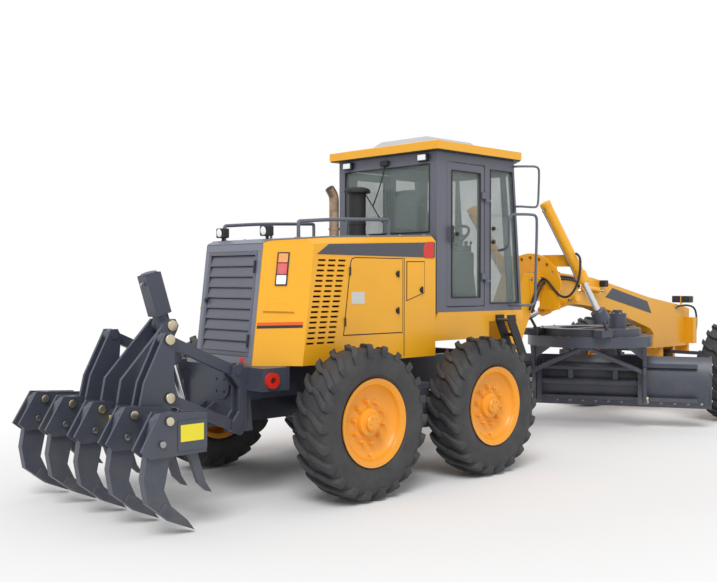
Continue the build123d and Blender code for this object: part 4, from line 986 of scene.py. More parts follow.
def on_drawbar(x, y, z):
    """A point given from the drawbar's ball, along and across the drawbar."""
    along = BALL_ALONG + x * cos(DRAWBAR_YAW) - y * sin(DRAWBAR_YAW)
    return Vector((along, x * sin(DRAWBAR_YAW) + y * cos(DRAWBAR_YAW), z))


def cap(place, radius, height, steps=20, rise=0.15):
    """A round button with a crowned face."""
    profile = [
        (0, height * (1 + rise)), (radius * 0.6, height * (1 + rise * 0.7)),
        (radius * 0.92, height * 0.92), (radius, height * 0.6), (radius, 0), (0, 0),
    ]
    return moved(smooth(turned(profile, steps=steps), 40), place)


def ring(place, inner, outer, height, steps=32):
    """A flat ring with rounded rims."""
    e = min(0.004, height * 0.3)
    profile = [
        (inner, 0), (inner, height - e), (inner + e, height), (outer - e, height),
        (outer, height - e), (outer, 0),
    ]
    return moved(smooth(turned(profile, steps=steps, closed=True), 40), place)


class GRADER_OT_hood(bpy.types.Operator):
    """Dresses the hood with its doors, stripe, deck and rear panel"""

    bl_idname = "grader.hood"
    bl_label = "Hood"

    def execute(self, context):
        for side in (-1, 1):
            self.side_panels("right" if side < 0 else "left", side)
        self.deck()
        self.rear_panel()
        return {"FINISHED"}

    def panel(self, side, outline, start, thickness, bevel=0.002):
        return flank(outline, side, HOOD_SIDE + start, HOOD_SIDE + start + thickness, bevel, 1)

    def side_panels(self, name, side):
        door = [
            (-0.659, 1.291), (-0.578, 1.890), (-0.562, 1.920), (-0.530, 1.930), (0.044, 1.930),
            (0.044, 1.291),
        ]
        seam = [
            (-0.668, 1.283), (-0.586, 1.893), (-0.567, 1.928), (-0.532, 1.938), (0.052, 1.938),
            (0.052, 1.283),
        ]
        narrow = [(0.108, 1.570), (0.109, 1.905), (0.333, 1.908), (0.333, 1.638)]
        shadow = [(0.100, 1.560), (0.101, 1.913), (0.341, 1.916), (0.341, 1.632)]
        seams = joined(
            [
                self.panel(side, seam, 0.0002, 0.0016, 0),
                self.panel(side, shadow, 0.0002, 0.0016, 0),
                self.panel(
                    side,
                    [(0.067, 1.075), (0.067, 1.945), (0.075, 1.945), (0.075, 1.075)],
                    0.0002,
                    0.0014,
                    0,
                ),
            ]
        )
        fit(seams, f"Hood_seams_{name}", "machine", "grille_black", black_paint())
        doors = joined(
            [self.panel(side, door, 0.0005, 0.0055), self.panel(side, narrow, 0.0005, 0.0055)]
        )
        fit(doors, f"Hood_doors_{name}", "machine", "body_yellow", body_yellow())
        stripe = self.panel(
            side,
            [(-0.96, 1.955), (-0.83, 2.040), (0.330, 2.084), (0.480, 2.090), (0.480, 1.950)],
            0.0004,
            0.0035,
        )
        fit(stripe, f"Hood_stripe_{name}", "machine", "deck_grey", stripe_grey())
        end = self.panel(
            side,
            [
                (0.340, 1.944), (0.322, 1.985), (0.322, 2.035), (0.345, 2.072), (0.380, 2.091),
                (0.458, 2.094), (0.458, 1.944),
            ],
            0.0006,
            0.0055,
        )
        fit(end, f"Hood_stripe_end_{name}", "machine", "lug_red", signal_red())
        blank = self.panel(
            side,
            [(-0.578, 1.545), (-0.578, 1.646), (-0.425, 1.646), (-0.425, 1.545)],
            0.0064,
            0.0020,
            0.0008,
        )
        fit(blank, f"Hood_plate_{name}", "machine", "unit_grey", pale_plate())
        out = Vector((0, side, 0))
        latches = []
        for x, z in ((0.290, 1.660), (-0.020, 1.480), (-0.020, 1.800)):
            base = cap(facing((x, side * (HOOD_SIDE + 0.006), z), out), 0.022, 0.010)
            grip = block((x - 0.008, -0.006, z - 0.030), (x + 0.008, 0.006, z + 0.030), 0.003)
            moved(grip, shift(0, side * (HOOD_SIDE + 0.021), 0))
            latches += [base, grip]
        hinges = []
        for z in (1.40, 1.82):
            x = -0.659 + (z - 1.291) * 0.135 - 0.006
            hinges.append(
                tube(
                    [
                        (x, side * (HOOD_SIDE + 0.009), z - 0.035),
                        (x, side * (HOOD_SIDE + 0.009), z + 0.035),
                    ],
                    0.008,
                    2,
                )
            )
        fit(
            joined(latches + hinges),
            f"Hood_latches_{name}",
            "machine",
            "grille_black",
            moulded_black(),
        )
        notch = corner_plate(
            side, [(0.09, 1.490), (0.29, 1.552), (0.60, 1.549), (0.76, 1.484)], 0.0004, 0.016, 0.007
        )
        fit(notch, f"Hood_corner_rib_{name}", "machine", "body_yellow", body_yellow())
        lower = corner_plate(
            side, [(0.02, 1.378), (0.02, 1.404), (0.93, 1.412), (0.93, 1.386)], 0.0004, 0.0025
        )
        fit(lower, f"Hood_corner_mark_{name}", "machine", "lug_red", stripe_orange())
        dark = corner_plate(
            side, [(0.02, 1.356), (0.02, 1.377), (0.93, 1.385), (0.93, 1.364)], 0.0004, 0.0025
        )
        fit(dark, f"Hood_corner_line_{name}", "machine", "grille_black", black_paint())

    def deck(self):
        front, rear, half = 0.488, -0.800, 0.630
        fall = 0.0732
        level = [(front, deck_at(front)), (rear, deck_at(rear))]
        outline = [(x, z + 0.001) for x, z in level] + [(x, z + 0.0135) for x, z in reversed(level)]
        slope = []
        for x, y in (
            (rear + 0.002, half), (-0.985, half), (-1.205, 0.392), (-1.205, -0.392),
            (-0.985, -half), (rear + 0.002, -half),
        ):
            slope.append((x, y, deck_at(rear) + 0.001 + (x - rear) * fall))
        edge = deck_at(rear) + (-1.205 - rear) * fall
        wrap = [
            on_rear(0.378, 0.487, 0.001),
            (-1.203, 0.388, edge + 0.002),
            (-1.203, -0.388, edge + 0.002),
            on_rear(-0.378, 0.487, 0.001),
        ]
        sheet = joined(
            [
                side_plate(outline, -half, half, 0.004, 2),
                plate(slope, (0, 0, 0.0125), 0.004),
                plate(wrap, (-0.006, 0, 0.010), 0.003),
            ]
        )
        fit(sheet, "Hood_deck", "machine", "deck_grey", deck_grey(), "hood_top")
        bolts = []
        for x in (-0.70, -0.30, 0.10, 0.42):
            for y in (-0.60, 0.60):
                bolts.append(facing((x, y, deck_at(x) + 0.0135), (0, 0, 1)))
        fasten("Hood_deck_bolts", "machine", bolts, 0.018, 0.008)

    def rear_panel(self):
        half, up, hole, hole_up = 0.381, 0.488, 0.332, 0.432
        thick = REAR_OUT * 0.006
        strips = [
            [(-half, hole_up), (half, hole_up), (half, up), (-half, up)],
            [(-half, -up), (half, -up), (half, -hole_up), (-half, -hole_up)],
            [(-half, -hole_up), (-hole, -hole_up), (-hole, hole_up), (-half, hole_up)],
            [(hole, -hole_up), (half, -hole_up), (half, hole_up), (hole, hole_up)],
        ]
        panel = joined(
            [plate([on_rear(y, z, 0.0005) for y, z in strip], thick, 0.0015, 1) for strip in strips]
        )
        fit(panel, "Rear_panel", "machine", "deck_grey", deck_grey())
        marks = []
        for y in (-0.262, 0.262):
            corners = [
                (y - 0.030, -0.478), (y + 0.030, -0.478), (y + 0.030, -0.440), (y - 0.030, -0.440)
            ]
            marks.append(
                plate([on_rear(a, b, 0.0066) for a, b in corners], REAR_OUT * 0.005, 0.001, 1)
            )
        # The red lens glows faintly; on these reflectors, which are no lamps, that glow is painted
        # light.
        fit(joined(marks), "Rear_reflectors", "machine", "lamp_red", lens_material(*RED_LENS))
        rim = []
        for strip in (
            [(-0.329, 0.398), (0.329, 0.398), (0.329, 0.429), (-0.329, 0.429)],
            [(-0.329, -0.429), (0.329, -0.429), (0.329, -0.398), (-0.329, -0.398)],
            [(-0.329, -0.398), (-0.300, -0.398), (-0.300, 0.398), (-0.329, 0.398)],
            [(0.300, -0.398), (0.329, -0.398), (0.329, 0.398), (0.300, 0.398)],
        ):
            rim.append(plate([on_rear(y, z, -0.004) for y, z in strip], REAR_OUT * 0.012, 0.003))
        slats = []
        for number in range(9):
            low = -0.396 + 0.088 * number
            profile = [
                (low, 0.004), (low + 0.010, 0.0055), (low + 0.086, -0.012), (low + 0.086, -0.015),
                (low, 0.0),
            ]
            start = [on_rear(-0.300, up, out) for up, out in profile]
            slats.append(plate(start, (0, 0.600, 0), 0.001, 1))
        back = plate(
            [
                on_rear(y, z, -0.030)
                for y, z in ((-0.305, -0.400), (0.305, -0.400), (0.305, 0.400), (-0.305, 0.400))
            ],
            REAR_OUT * 0.004,
            0,
        )
        fit(
            joined(rim + slats + [back]),
            "Grille_slats",
            "machine",
            "grille_black",
            cab_grey(),
            "grille",
        )
        latch = cap(facing(on_rear(0.300, 0.02, 0.014), REAR_OUT), 0.020, 0.012)
        hinge = [
            tube(
                [on_rear(-0.318, z - 0.05, 0.018), on_rear(-0.318, z + 0.05, 0.018)], 0.010, 2
            ) for z in (-0.3, 0.3)
        ]
        fit(joined([latch] + hinge), "Grille_fittings", "machine", "grille_black", black_paint())


class GRADER_OT_lamps(bpy.types.Operator):
    """Builds the tail lamps, the work lamps, the cab's lamps and the nose lamps"""

    bl_idname = "grader.lamps"
    bl_label = "Lamps"

    def execute(self, context):
        cases, reds, ambers, whites = [], [], [], []
        for side in (-1, 1):
            low, high = 0.30, 0.54
            cases.append(
                corner_plate(
                    side,
                    [(low, 1.700), (low, 1.968), (high, 1.968), (high, 1.700)],
                    0.0005,
                    0.012,
                    0.003,
                )
            )
            inner, outer = low + 0.025, high - 0.025
            for row, z_low, z_high in (
                (ambers, 1.885, 1.958), (reds, 1.790, 1.878), (whites, 1.710, 1.783)
            ):
                row.append(
                    corner_plate(
                        side,
                        [(inner, z_low), (inner, z_high), (outer, z_high), (outer, z_low)],
                        0.010,
                        0.006,
                        0.002,
                    )
                )
            x, y = -1.175, side * 0.300
            cases.append(tube([(x + 0.01, y, 2.050), (x + 0.01, y, 2.108)], 0.014, 2))
            cases.append(block((x - 0.028, y - 0.055, 2.106), (x + 0.038, y + 0.055, 2.190), 0.010))
            whites.append(cap(facing((x - 0.028, y, 2.148), (-1, 0, -0.1)), 0.036, 0.008, 24, 0.5))
            cases.append(ring(facing((x - 0.026, y, 2.148), (-1, 0, -0.1)), 0.036, 0.041, 0.009))
            z, back = 2.878, 0.538
            cases.append(
                block(
                    (back - 0.040, side * 0.500 - 0.060, z - 0.036),
                    (back, side * 0.500 + 0.060, z + 0.036), 0.010,
                )
            )
            whites.append(
                block(
                    (back - 0.046, side * 0.500 - 0.048, z - 0.026),
                    (back - 0.038, side * 0.500 + 0.048, z + 0.026), 0.003,
                )
            )
        fit(joined(cases), "Lamp_cases", "machine", "lamp_red", black_paint(), "rear_lamps")
        twins = []
        lenses = []
        for y in (-0.068, 0.068):
            twins.append(block((6.397, y - 0.066, 1.444), (6.500, y + 0.066, 1.536), 0.012))
            lenses.append(cap(facing((6.500, y, 1.490), (1, 0, 0)), 0.034, 0.006, 24, 0.3))
        fit(joined(twins), "Nose_lamp_cases", "front", "lamp_red", black_paint())
        fit(joined(lenses), "Nose_lenses", "front", "lamp_red", lens_material(*WHITE_LENS))
        fit(joined(reds), "Red_lenses", "machine", "lamp_red", lens_material(*RED_LENS))
        fit(joined(ambers), "Amber_lenses", "machine", "lamp_red", lens_material(*AMBER_LENS))
        fit(joined(whites), "White_lenses", "machine", "lamp_red", lens_material(*WHITE_LENS))
        return {"FINISHED"}


class GRADER_OT_stacks(bpy.types.Operator):
    """Turns the exhaust stack and the air intake"""

    bl_idname = "grader.stacks"
    bl_label = "Stacks"

    def execute(self, context):
        x, y = -0.045, 0.100
        low = deck_at(x) + 0.014
        pipe = tube(
            [
                (x, y, low), (x, y, 2.42), (x, y, 2.515), (x - 0.030, y, 2.560),
                (x - 0.058, y, 2.592),
            ],
            0.045,
            3,
            8,
            6,
        )
        foot = ring(shift(x, y, low), 0.044, 0.078, 0.014)
        band = ring(shift(x, y, low + 0.070), 0.044, 0.051, 0.022)
        fit(
            joined([pipe, foot, band]),
            "Exhaust",
            "machine",
            "stack_black",
            metal_material(*HEATED_STEEL),
            "stacks",
        )
        # The stack's tube is closed at its end; this flat black disc on it stands for the dark
        # inside of the pipe: painted shade, together with soot.
        mouth = cap(facing((x - 0.058, y, 2.592), (-0.65, 0, 0.76)), 0.038, 0.003, 20, 0.0)
        fit(mouth, "Exhaust_mouth", "machine", "stack_black", moulded_black())
        x, y = 0.350, 0.200
        low = deck_at(x) + 0.014
        profile = [
            (0, 2.640), (0.060, 2.638), (0.100, 2.630), (0.122, 2.616), (0.128, 2.600),
            (0.126, 2.584), (0.112, 2.580), (0.086, 2.575), (0.084, 2.300), (0.088, 2.296),
            (0.088, 2.276), (0.084, 2.272), (0.084, low + 0.030), (0.100, low + 0.016),
            (0.104, low), (0, low),
        ]
        intake = smooth(turned(profile, shift(x, y, 0), 40), 30)
        slots = []
        for angle, u, v in around(18, 0.1265):
            slots.append(facing((x + u, y + v, 2.600), (cos(angle), sin(angle), 0)))
        slot = block((-0.010, -0.005, -0.002), (0.010, 0.005, 0.003), 0.001)
        fit(
            joined([intake, repeated(slot, slots)]),
            "Intake",
            "machine",
            "stack_black",
            moulded_black(),
        )
        return {"FINISHED"}


class GRADER_OT_rails(bpy.types.Operator):
    """Bends the hood rails, the step rails and the upper loops"""

    bl_idname = "grader.rails"
    bl_label = "Rails"

    def execute(self, context):
        rails = []
        for side in (-1, 1):
            y = side * 0.500
            hood = [
                (-1.000, y, deck_at(-1.0) + 0.001), (-1.000, y, 2.190), (-1.000, y, 2.226),
                (-0.962, y, 2.229), (-0.560, y, 2.262), (0.020, y, 2.284), (0.058, y, 2.286),
                (0.060, y, 2.250), (0.060, y, deck_at(0.06) + 0.014),
            ]
            rails.append(tube(hood, 0.0155, 3, 8, 5))
            rails.append(tube([(-0.47, y, deck_at(-0.47) + 0.014), (-0.47, y, 2.262)], 0.013, 2))
            for x in (-1.000, -0.470, 0.060):
                rails.append(
                    ring(
                        shift(x, y, deck_at(x) + (0.002 if x < -0.9 else 0.0138)),
                        0.012,
                        0.034,
                        0.008,
                        20,
                    )
                )
            y = side * 0.780
            step = [
                (1.456, side * 0.652, 2.040), (1.456, y, 2.042), (1.456, y, 2.200),
                (1.456, y, 2.345), (1.490, y, 2.388), (1.640, y, 2.396), (1.800, y, 2.402),
                (1.905, y, 2.398), (1.917, y, 2.320), (1.905, y, 2.000), (1.890, y, 1.600),
                (1.885, y, 1.510), (1.800, y, 1.499), (1.700, y, 1.500), (1.640, y, 1.500),
                (1.640, side * 0.655, 1.500),
            ]
            rails.append(tube(step, 0.0135, 3, 6, 5))
            y = side * 0.720
            upper = [
                (1.690, side * 0.640, 2.878), (1.716, y, 2.878), (1.850, y, 2.888),
                (1.968, y, 2.898), (2.030, y, 2.885), (2.036, y, 2.820), (2.028, y, 2.660),
                (2.022, y, 2.540), (2.000, y, 2.488), (1.920, y, 2.483), (1.800, y, 2.481),
                (1.716, y, 2.481), (1.716, side * 0.640, 2.481),
            ]
            rails.append(tube(upper, 0.0110, 3, 6, 5))
        fit(joined(rails), "Rails", "machine", "rail_grey", cab_grey(), "handrails")
        return {"FINISHED"}


class GRADER_OT_cab(bpy.types.Operator):
    """Fits the seals, handles, wiper and roof lining, and the seat and controls inside"""

    bl_idname = "grader.cab"
    bl_label = "Cab"

    def execute(self, context):
        seals, knobs = [], []
        for side in (-1, 1):
            face = side * 0.648
            rows = [(0.755, 1.585), (1.175, 1.585), (1.175, 2.770), (0.755, 2.770), (0.755, 1.585)]
            seals.append(tube([(x, face, z) for x, z in rows], 0.007, 2))
            rear = 1.327
            rows = [(rear, 1.522), (1.790, 1.522), (1.672, 2.818), (rear, 2.818), (rear, 1.522)]
            seals.append(tube([(x, side * 0.652, z) for x, z in rows], 0.006, 2))
            out = Vector((0, side, 0))
            for x, z in ((1.380, 2.120), (1.380, 2.250)):
                knobs.append(cap(facing((x, side * 0.642, z), out), 0.020, 0.022))
            knobs.append(cap(facing((0.845, side * 0.634, 2.180), out), 0.018, 0.018))
            low, high = sorted((side * 0.680, side * 0.694))
            knobs.append(block((0.701, low, 2.090), (0.734, high, 2.256), 0.006))
        y = 0.560
        rows = [(-y, 2.192), (y, 2.192), (y, 2.818), (-y, 2.818), (-y, 2.192)]
        seals.append(tube([(0.5385, a, b) for a, b in rows], 0.007, 2))
        fit(joined(seals), "Window_seals", "machine", "grille_black", moulded_black())
        arm = tube([(0.530, 0.0, 2.860), (0.520, 0.02, 2.700), (0.523, 0.16, 2.460)], 0.006, 3)
        wiper = tube([(0.527, 0.03, 2.300), (0.527, 0.29, 2.620)], 0.006, 2)
        motor = block((0.505, -0.050, 2.840), (0.538, 0.050, 2.890), 0.008)
        fit(
            joined(knobs + [arm, wiper, motor]),
            "Cab_handles",
            "machine",
            "grille_black",
            moulded_black(),
        )
        outline = [
            (0.478, -0.712, 2.9300), (1.727, -0.712, 2.9300), (2.036, -0.352, 2.9300),
            (2.036, 0.352, 2.9300), (1.727, 0.712, 2.9300), (0.478, 0.712, 2.9300),
        ]
        fit(
            plate(outline, (0, 0, 0.0092), 0),
            "Roof_lining",
            "machine",
            "grille_black",
            black_paint(),
        )
        self.inside()
        return {"FINISHED"}

    def cushion(self, low, high, crown):
        """A stuffed pad: a cuboid divided, crowned and rounded."""
        pad = block(low, high, 0)
        use_modifier(pad, "SUBSURF", levels=3, render_levels=3, subdivision_type="SIMPLE")
        middle = (Vector(low) + Vector(high)) / 2
        half = (Vector(high) - Vector(low)) / 2
        soften(pad, min(half) * 0.45, 4, 60)
        pick(pad)
        bpy.ops.object.mode_set(mode="EDIT")
        bpy.ops.mesh.select_all(action="SELECT")
        bpy.ops.transform.tosphere(value=crown, center_override=middle)
        bpy.ops.object.mode_set(mode="OBJECT")
        return smooth(pad, 60)

    def inside(self):
        floor = 1.470
        cloth = fabric_material(*SEAT_CLOTH)
        seat = self.cushion((0.860, -0.245, floor + 0.330), (1.325, 0.245, floor + 0.425), 0.08)
        back = self.cushion((-0.050, -0.230, -0.300), (0.050, 0.230, 0.300), 0.08)
        moved(back, shift(0.880, 0, floor + 0.725) @ turn(-8, "Y"))
        head = self.cushion((-0.040, -0.130, -0.080), (0.040, 0.130, 0.080), 0.15)
        moved(head, shift(0.835, 0, floor + 1.075) @ turn(-8, "Y"))
        rests = [
            self.cushion(
                (0.940, side * 0.335 - 0.045, floor + 0.560),
                (1.260, side * 0.335 + 0.045, floor + 0.600), 0.05,
            )
            for side in (-1, 1)
        ]
        fit(
            joined([seat, back, head] + rests),
            "Operator_cushions",
            "machine",
            "seat_fabric",
            cloth,
            "cab_interior",
        )
        hard = [
            block((0.870, -0.230, floor), (1.270, 0.230, floor + 0.060), 0.008),
            block((0.930, -0.170, floor + 0.058), (1.210, 0.170, floor + 0.300), 0.020),
            block((0.880, -0.225, floor + 0.298), (1.300, 0.225, floor + 0.332), 0.008),
            side_plate(
                [(1.640, floor), (1.820, floor), (1.700, floor + 0.640), (1.600, floor + 0.620)],
                -0.110,
                0.110,
                0.015,
            ),
            tube([(1.650, 0, floor + 0.610), (1.560, 0, floor + 0.720)], 0.025, 2),
        ]
        for side in (-1, 1):
            low, high = sorted((side * 0.290, side * 0.380))
            hard.append(block((0.980, low, floor), (1.420, high, floor + 0.555), 0.015))
            for number in range(4):
                x = 1.290 + number * 0.032
                y = side * (0.312 + 0.045 * (number % 2))
                hard.append(tube([(x, y, floor + 0.550), (x + 0.004, y, floor + 0.640)], 0.006, 2))
                hard.append(cap(shift(x + 0.004, y, floor + 0.635), 0.014, 0.028, 14))
        wheel = turned([(0.172 + u, v) for _, u, v in around(8, 0.015)], steps=40, closed=True)
        spokes = [
            block((-0.165, -0.014, -0.006), (0.165, 0.014, 0.006), 0.004),
            cap(shift(0, 0, -0.005), 0.045, 0.030),
        ]
        wheel = moved(
            smooth(joined([wheel] + spokes), 50),
            facing((1.551, 0, floor + 0.731), (-0.64, 0, 0.77)),
        )
        fit(joined(hard + [wheel]), "Cab_controls", "machine", "grille_black", moulded_black())


class GRADER_OT_neck(bpy.types.Operator):
    """Adds the gooseneck's panels, lamp, lock cylinder, hoses and bolts"""

    bl_idname = "grader.neck"
    bl_label = "Gooseneck"

    def execute(self, context):
        half = 0.150
        panels, frames = [], []
        for side in (-1, 1):
            outline = [(4.380, 1.655), (5.220, 1.482), (5.325, 1.325), (4.225, 1.545)]
            panels.append(flank(outline, side, half + 0.0004, half + 0.005, 0.0015, 1))
            outline = [
                (2.650, 1.790), (3.180, 1.790), (3.180, 1.560), (2.900, 1.610), (2.700, 1.510)
            ]
            frames.append(flank(outline, side, half + 0.0004, half + 0.010))
        fit(joined(panels), "Neck_panels", "front", "frame_blue_grey", chassis_grey())
        fit(joined(frames), "Neck_cheeks", "front", "body_yellow", body_yellow())
        spots = []
        for x, z in (
            (2.690, 1.760), (2.860, 1.760), (3.140, 1.760), (3.140, 1.600), (2.740, 1.560)
        ):
            for side in (-1, 1):
                spots.append(facing((x, side * (half + 0.010), z), (0, side, 0), 12))
        for y in (-0.110, 0.110):
            for x in (2.700, 2.800, 3.240, 3.290):
                spots.append(facing((x, y, 1.830), (0, 0, 1)))
        for y, z in (
            (-0.21, 0.95), (0.21, 0.95), (-0.21, 1.20), (0.21, 1.20), (0, 0.95), (0, 1.20)
        ):
            spots.append(facing((6.350, y, z), (1, 0, 0)))
        fasten("Neck_bolts", "front", spots)
        lamps, whites = [], []
        for side in (-1, 1):
            y = side * 0.190
            lamps.append(block((4.085, y - 0.042, 1.670), (4.165, y + 0.042, 1.750), 0.012))
            lamps.append(tube([(4.125, side * 0.145, 1.710), (4.125, y, 1.710)], 0.012, 2))
            whites.append(cap(facing((4.164, y, 1.710), (1, 0, 0)), 0.032, 0.007, 20, 0.4))
        eye = tube(
            [
                (5.120, 0.030 * sin(radians(30 * k)), 1.560 + 0.030 * cos(radians(30 * k)))
                for k in range(13)
            ],
            0.009,
            2,
        )
        fit(joined(lamps), "Neck_lamp_cases", "front", "lamp_red", black_paint())
        fit(joined(whites), "Neck_lenses", "front", "lamp_red", lens_material(*WHITE_LENS))
        fit(eye, "Lifting_eye", "front", "lug_red", signal_red())
        start, end = Vector((3.680, -0.200, 1.660)), Vector((3.980, -0.200, 1.630))
        way = (end - start).normalized()
        parts = [
            tube([start, end], 0.035, 2),
            tube([start + way * 0.02, start + way * 0.05], 0.041, 2),
            tube([end - way * 0.05, end - way * 0.02], 0.041, 2),
        ]
        for point in (start + way * 0.035, end - way * 0.035):
            parts.append(
                block(
                    (point.x - 0.018, -0.172, point.z - 0.022),
                    (point.x + 0.018, -0.148, point.z + 0.022), 0.004,
                )
            )
        fit(joined(parts), "Neck_reservoir", "front", "body_yellow", body_yellow())
        rod = tube([end, end + way * 0.100], 0.014, 2)
        fit(rod, "Neck_reservoir_rod", "front", "rod_chrome", chrome())
        self.hoses()
        return {"FINISHED"}

    def hoses(self):
        r = sizes().hose_radius
        lines, ends = [], []
        for number in range(3):
            y = -0.172 - 0.030 * number
            drop = 0.030 * number
            low = [
                (2.640, y, 1.420 - drop), (2.760, y, 1.640 - drop), (2.860, y, 1.770 - drop),
                (3.220, y, 1.800 - drop), (3.600, y * 0.94, 1.770 - drop),
                (3.640, -0.158, 1.700 - drop),
            ]
            if number < 2:
                lines.append(tube(low, r, 3, 10))
            ends.append(tube([low[-1], (3.655, -0.145, 1.690 - drop)], r * 1.5, 2))
        for number in range(2):
            z = 1.090 - 0.050 * number
            y = 0.060 - 0.120 * number
            lines.append(
                tube(
                    [
                        (6.352, y, 1.300), (6.400, y, 1.300), (6.440, y, 1.200),
                        (6.440, y * 0.8, z), (6.400, y * 0.8, 1.000), (6.345, y * 0.8, 0.990),
                    ],
                    r,
                    3,
                    10,
                )
            )
            ends.append(tube([(6.348, y, 1.300), (6.376, y, 1.300)], r * 1.5, 2))
            ends.append(tube([(6.348, y * 0.8, 0.991), (6.376, y * 0.8, 0.994)], r * 1.5, 2))
        lines.append(
            tube(
                [
                    (5.980, -0.152, 1.390), (6.000, -0.190, 1.410), (6.150, -0.230, 1.420),
                    (6.330, -0.250, 1.380), (6.395, -0.240, 1.200), (6.395, -0.220, 1.020),
                    (6.353, -0.200, 0.980),
                ],
                r,
                3,
                10,
            )
        )
        ends.append(tube([(5.978, -0.149, 1.388), (5.982, -0.168, 1.392)], r * 1.6, 2))
        fit(joined(lines), "Neck_hoses", "front", "step_rubber", moulded_black())
        fit(joined(ends), "Neck_hose_ends", "front", "rod_chrome", worn_steel())


class GRADER_OT_cylinders(bpy.types.Operator):
    """Adds end caps, glands, ports and steel pipes to the lift, shift and ripper cylinders"""

    bl_idname = "grader.cylinders"
    bl_label = "Cylinders"

    def execute(self, context):
        lift = ("body_yellow", body_yellow, 0.058, 0.720, 0.248)
        shift_barrel = ("body_yellow", body_yellow, 0.044, 0.250, 0.250)
        ripper = ("frame_blue_grey", chassis_grey, 0.062, 0.430, 0.300)
        cylinders = (
            ("Lift_left", "lift_{}_left", LIFT_PIVOT, on_drawbar(*LIFT_BALL), lift),
            ("Lift_right", "lift_{}_right", LIFT_PIVOT_RIGHT, on_drawbar(*LIFT_BALL_RIGHT), lift),
            ("Shift", "shift_{}", SHIFT_PIVOT, on_drawbar(*SHIFT_BALL), shift_barrel),
            ("Ripper", "ripper_{}", RIPPER_PIVOT, Vector(RIPPER_EYE), ripper),
        )
        for name, bodies, pivot, eye, barrel in cylinders:
            pivot = Vector(pivot)
            self.dress(name, bodies.format("barrel"), pivot, (eye - pivot).normalized(), *barrel)
        # The ripper's rod ends in an eye and has no socket
        for (name, bodies, pivot, ball, _), bore in zip(cylinders, (0.034, 0.034, 0.024)):
            self.socket(name, bodies.format("rod"), ball, Vector(pivot), 0.084, bore)
        self.lift_hose()
        return {"FINISHED"}

    def lift_hose(self):
        """The hose that loops from the gooseneck up to the right lift cylinder."""
        start, end = (2.875, -0.163, 1.770), (2.953, -0.560, 2.040)
        points = [
            start,
            (2.868, -0.230, 1.765), (2.855, -0.330, 1.660), (2.850, -0.440, 1.560),
            (2.850, -0.560, 1.570), (2.880, -0.640, 1.720), (2.915, -0.645, 1.900),
            (2.940, -0.620, 2.020),
            end,
        ]
        hose = tube(points, sizes().hose_radius, 3, 10)
        fit(hose, "Lift_hose", None, "step_rubber", moulded_black())
        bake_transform(hose)

    def dress(self, name, body, pivot, way, slot, finish, radius, above, below):
        top = pivot - way * above
        foot = pivot + way * below
        place = facing(top, -way)
        crown = [
            (0, 0.006), (radius * 0.55, 0.006), (radius * 0.75, 0.004), (radius + 0.003, -0.004),
            (radius + 0.004, -0.012), (radius + 0.004, -0.046), (radius + 0.0005, -0.050),
            (radius + 0.0005, 0.0005), (0, 0.0005),
        ]
        parts = [smooth(turned(crown, place, 32), 30)]
        ring_place = facing(foot + way * 0.006, way)
        gland = [
            (radius * 0.72, 0.0), (radius * 0.72, 0.014), (radius + 0.006, 0.014),
            (radius + 0.012, 0.008), (radius + 0.012, 0.0),
        ]
        parts.append(smooth(turned(gland, ring_place, 32, closed=True), 30))
        fit(joined(parts), f"{name}_caps", body, slot, finish())
        side = way.cross(Vector((0, 1, 0))).normalized()
        if side.x > 0:
            side = -side
        steel = [
            self.port(top + way * 0.070, side, radius),
            self.port(foot - way * 0.050, side, radius + 0.013),
        ]
        if name.startswith("Lift"):
            off = side * (radius + 0.026)
            points = [
                top + way * 0.070 + off + side * 0.006,
                top + way * 0.100 + off,
                pivot - way * 0.060 + off,
                foot - way * 0.170 + off,
                foot - way * 0.110 + off + side * 0.008,
                foot - way * 0.052 + off + side * 0.006,
            ]
            steel.append(tube(points, 0.0085, 3, 6))
        cross = way.cross(side).normalized()
        heads = []
        for _, u, v in around(6, radius - 0.002, 30):
            heads.append(facing(foot + way * 0.020 + side * u + cross * v, way))
        bolts = repeated(bolt(ORIGIN, 0.014, 0.008, False), heads)
        fit(joined(steel + [bolts]), f"{name}_fittings", body, "rod_chrome", worn_steel())

    def socket(self, name, body, ball, pivot, radius, bore):
        """A painted sleeve over the cap at a rod's end."""
        way = (pivot - ball).normalized()
        shell = [
            (radius + 0.0003, -0.033), (radius + 0.0028, -0.033), (radius + 0.0028, 0.084),
            (radius - 0.004, 0.094), (bore + 0.010, 0.096), (bore + 0.0006, 0.104),
            (bore + 0.0006, 0.0906), (radius + 0.0003, 0.0906),
        ]
        sleeve = smooth(turned(shell, facing(ball, way), 36, closed=True), 30)
        fit(sleeve, f"{name}_socket", body, "frame_blue_grey", chassis_grey())

    def port(self, point, out, radius):
        """A union on a cylinder's side."""
        profile = [
            (0, 0.034), (0.012, 0.034), (0.014, 0.030), (0.014, 0.016), (0.018, 0.014),
            (0.018, -0.004), (0, -0.004),
        ]
        return turned(profile, facing(point + out * radius, out), 12)


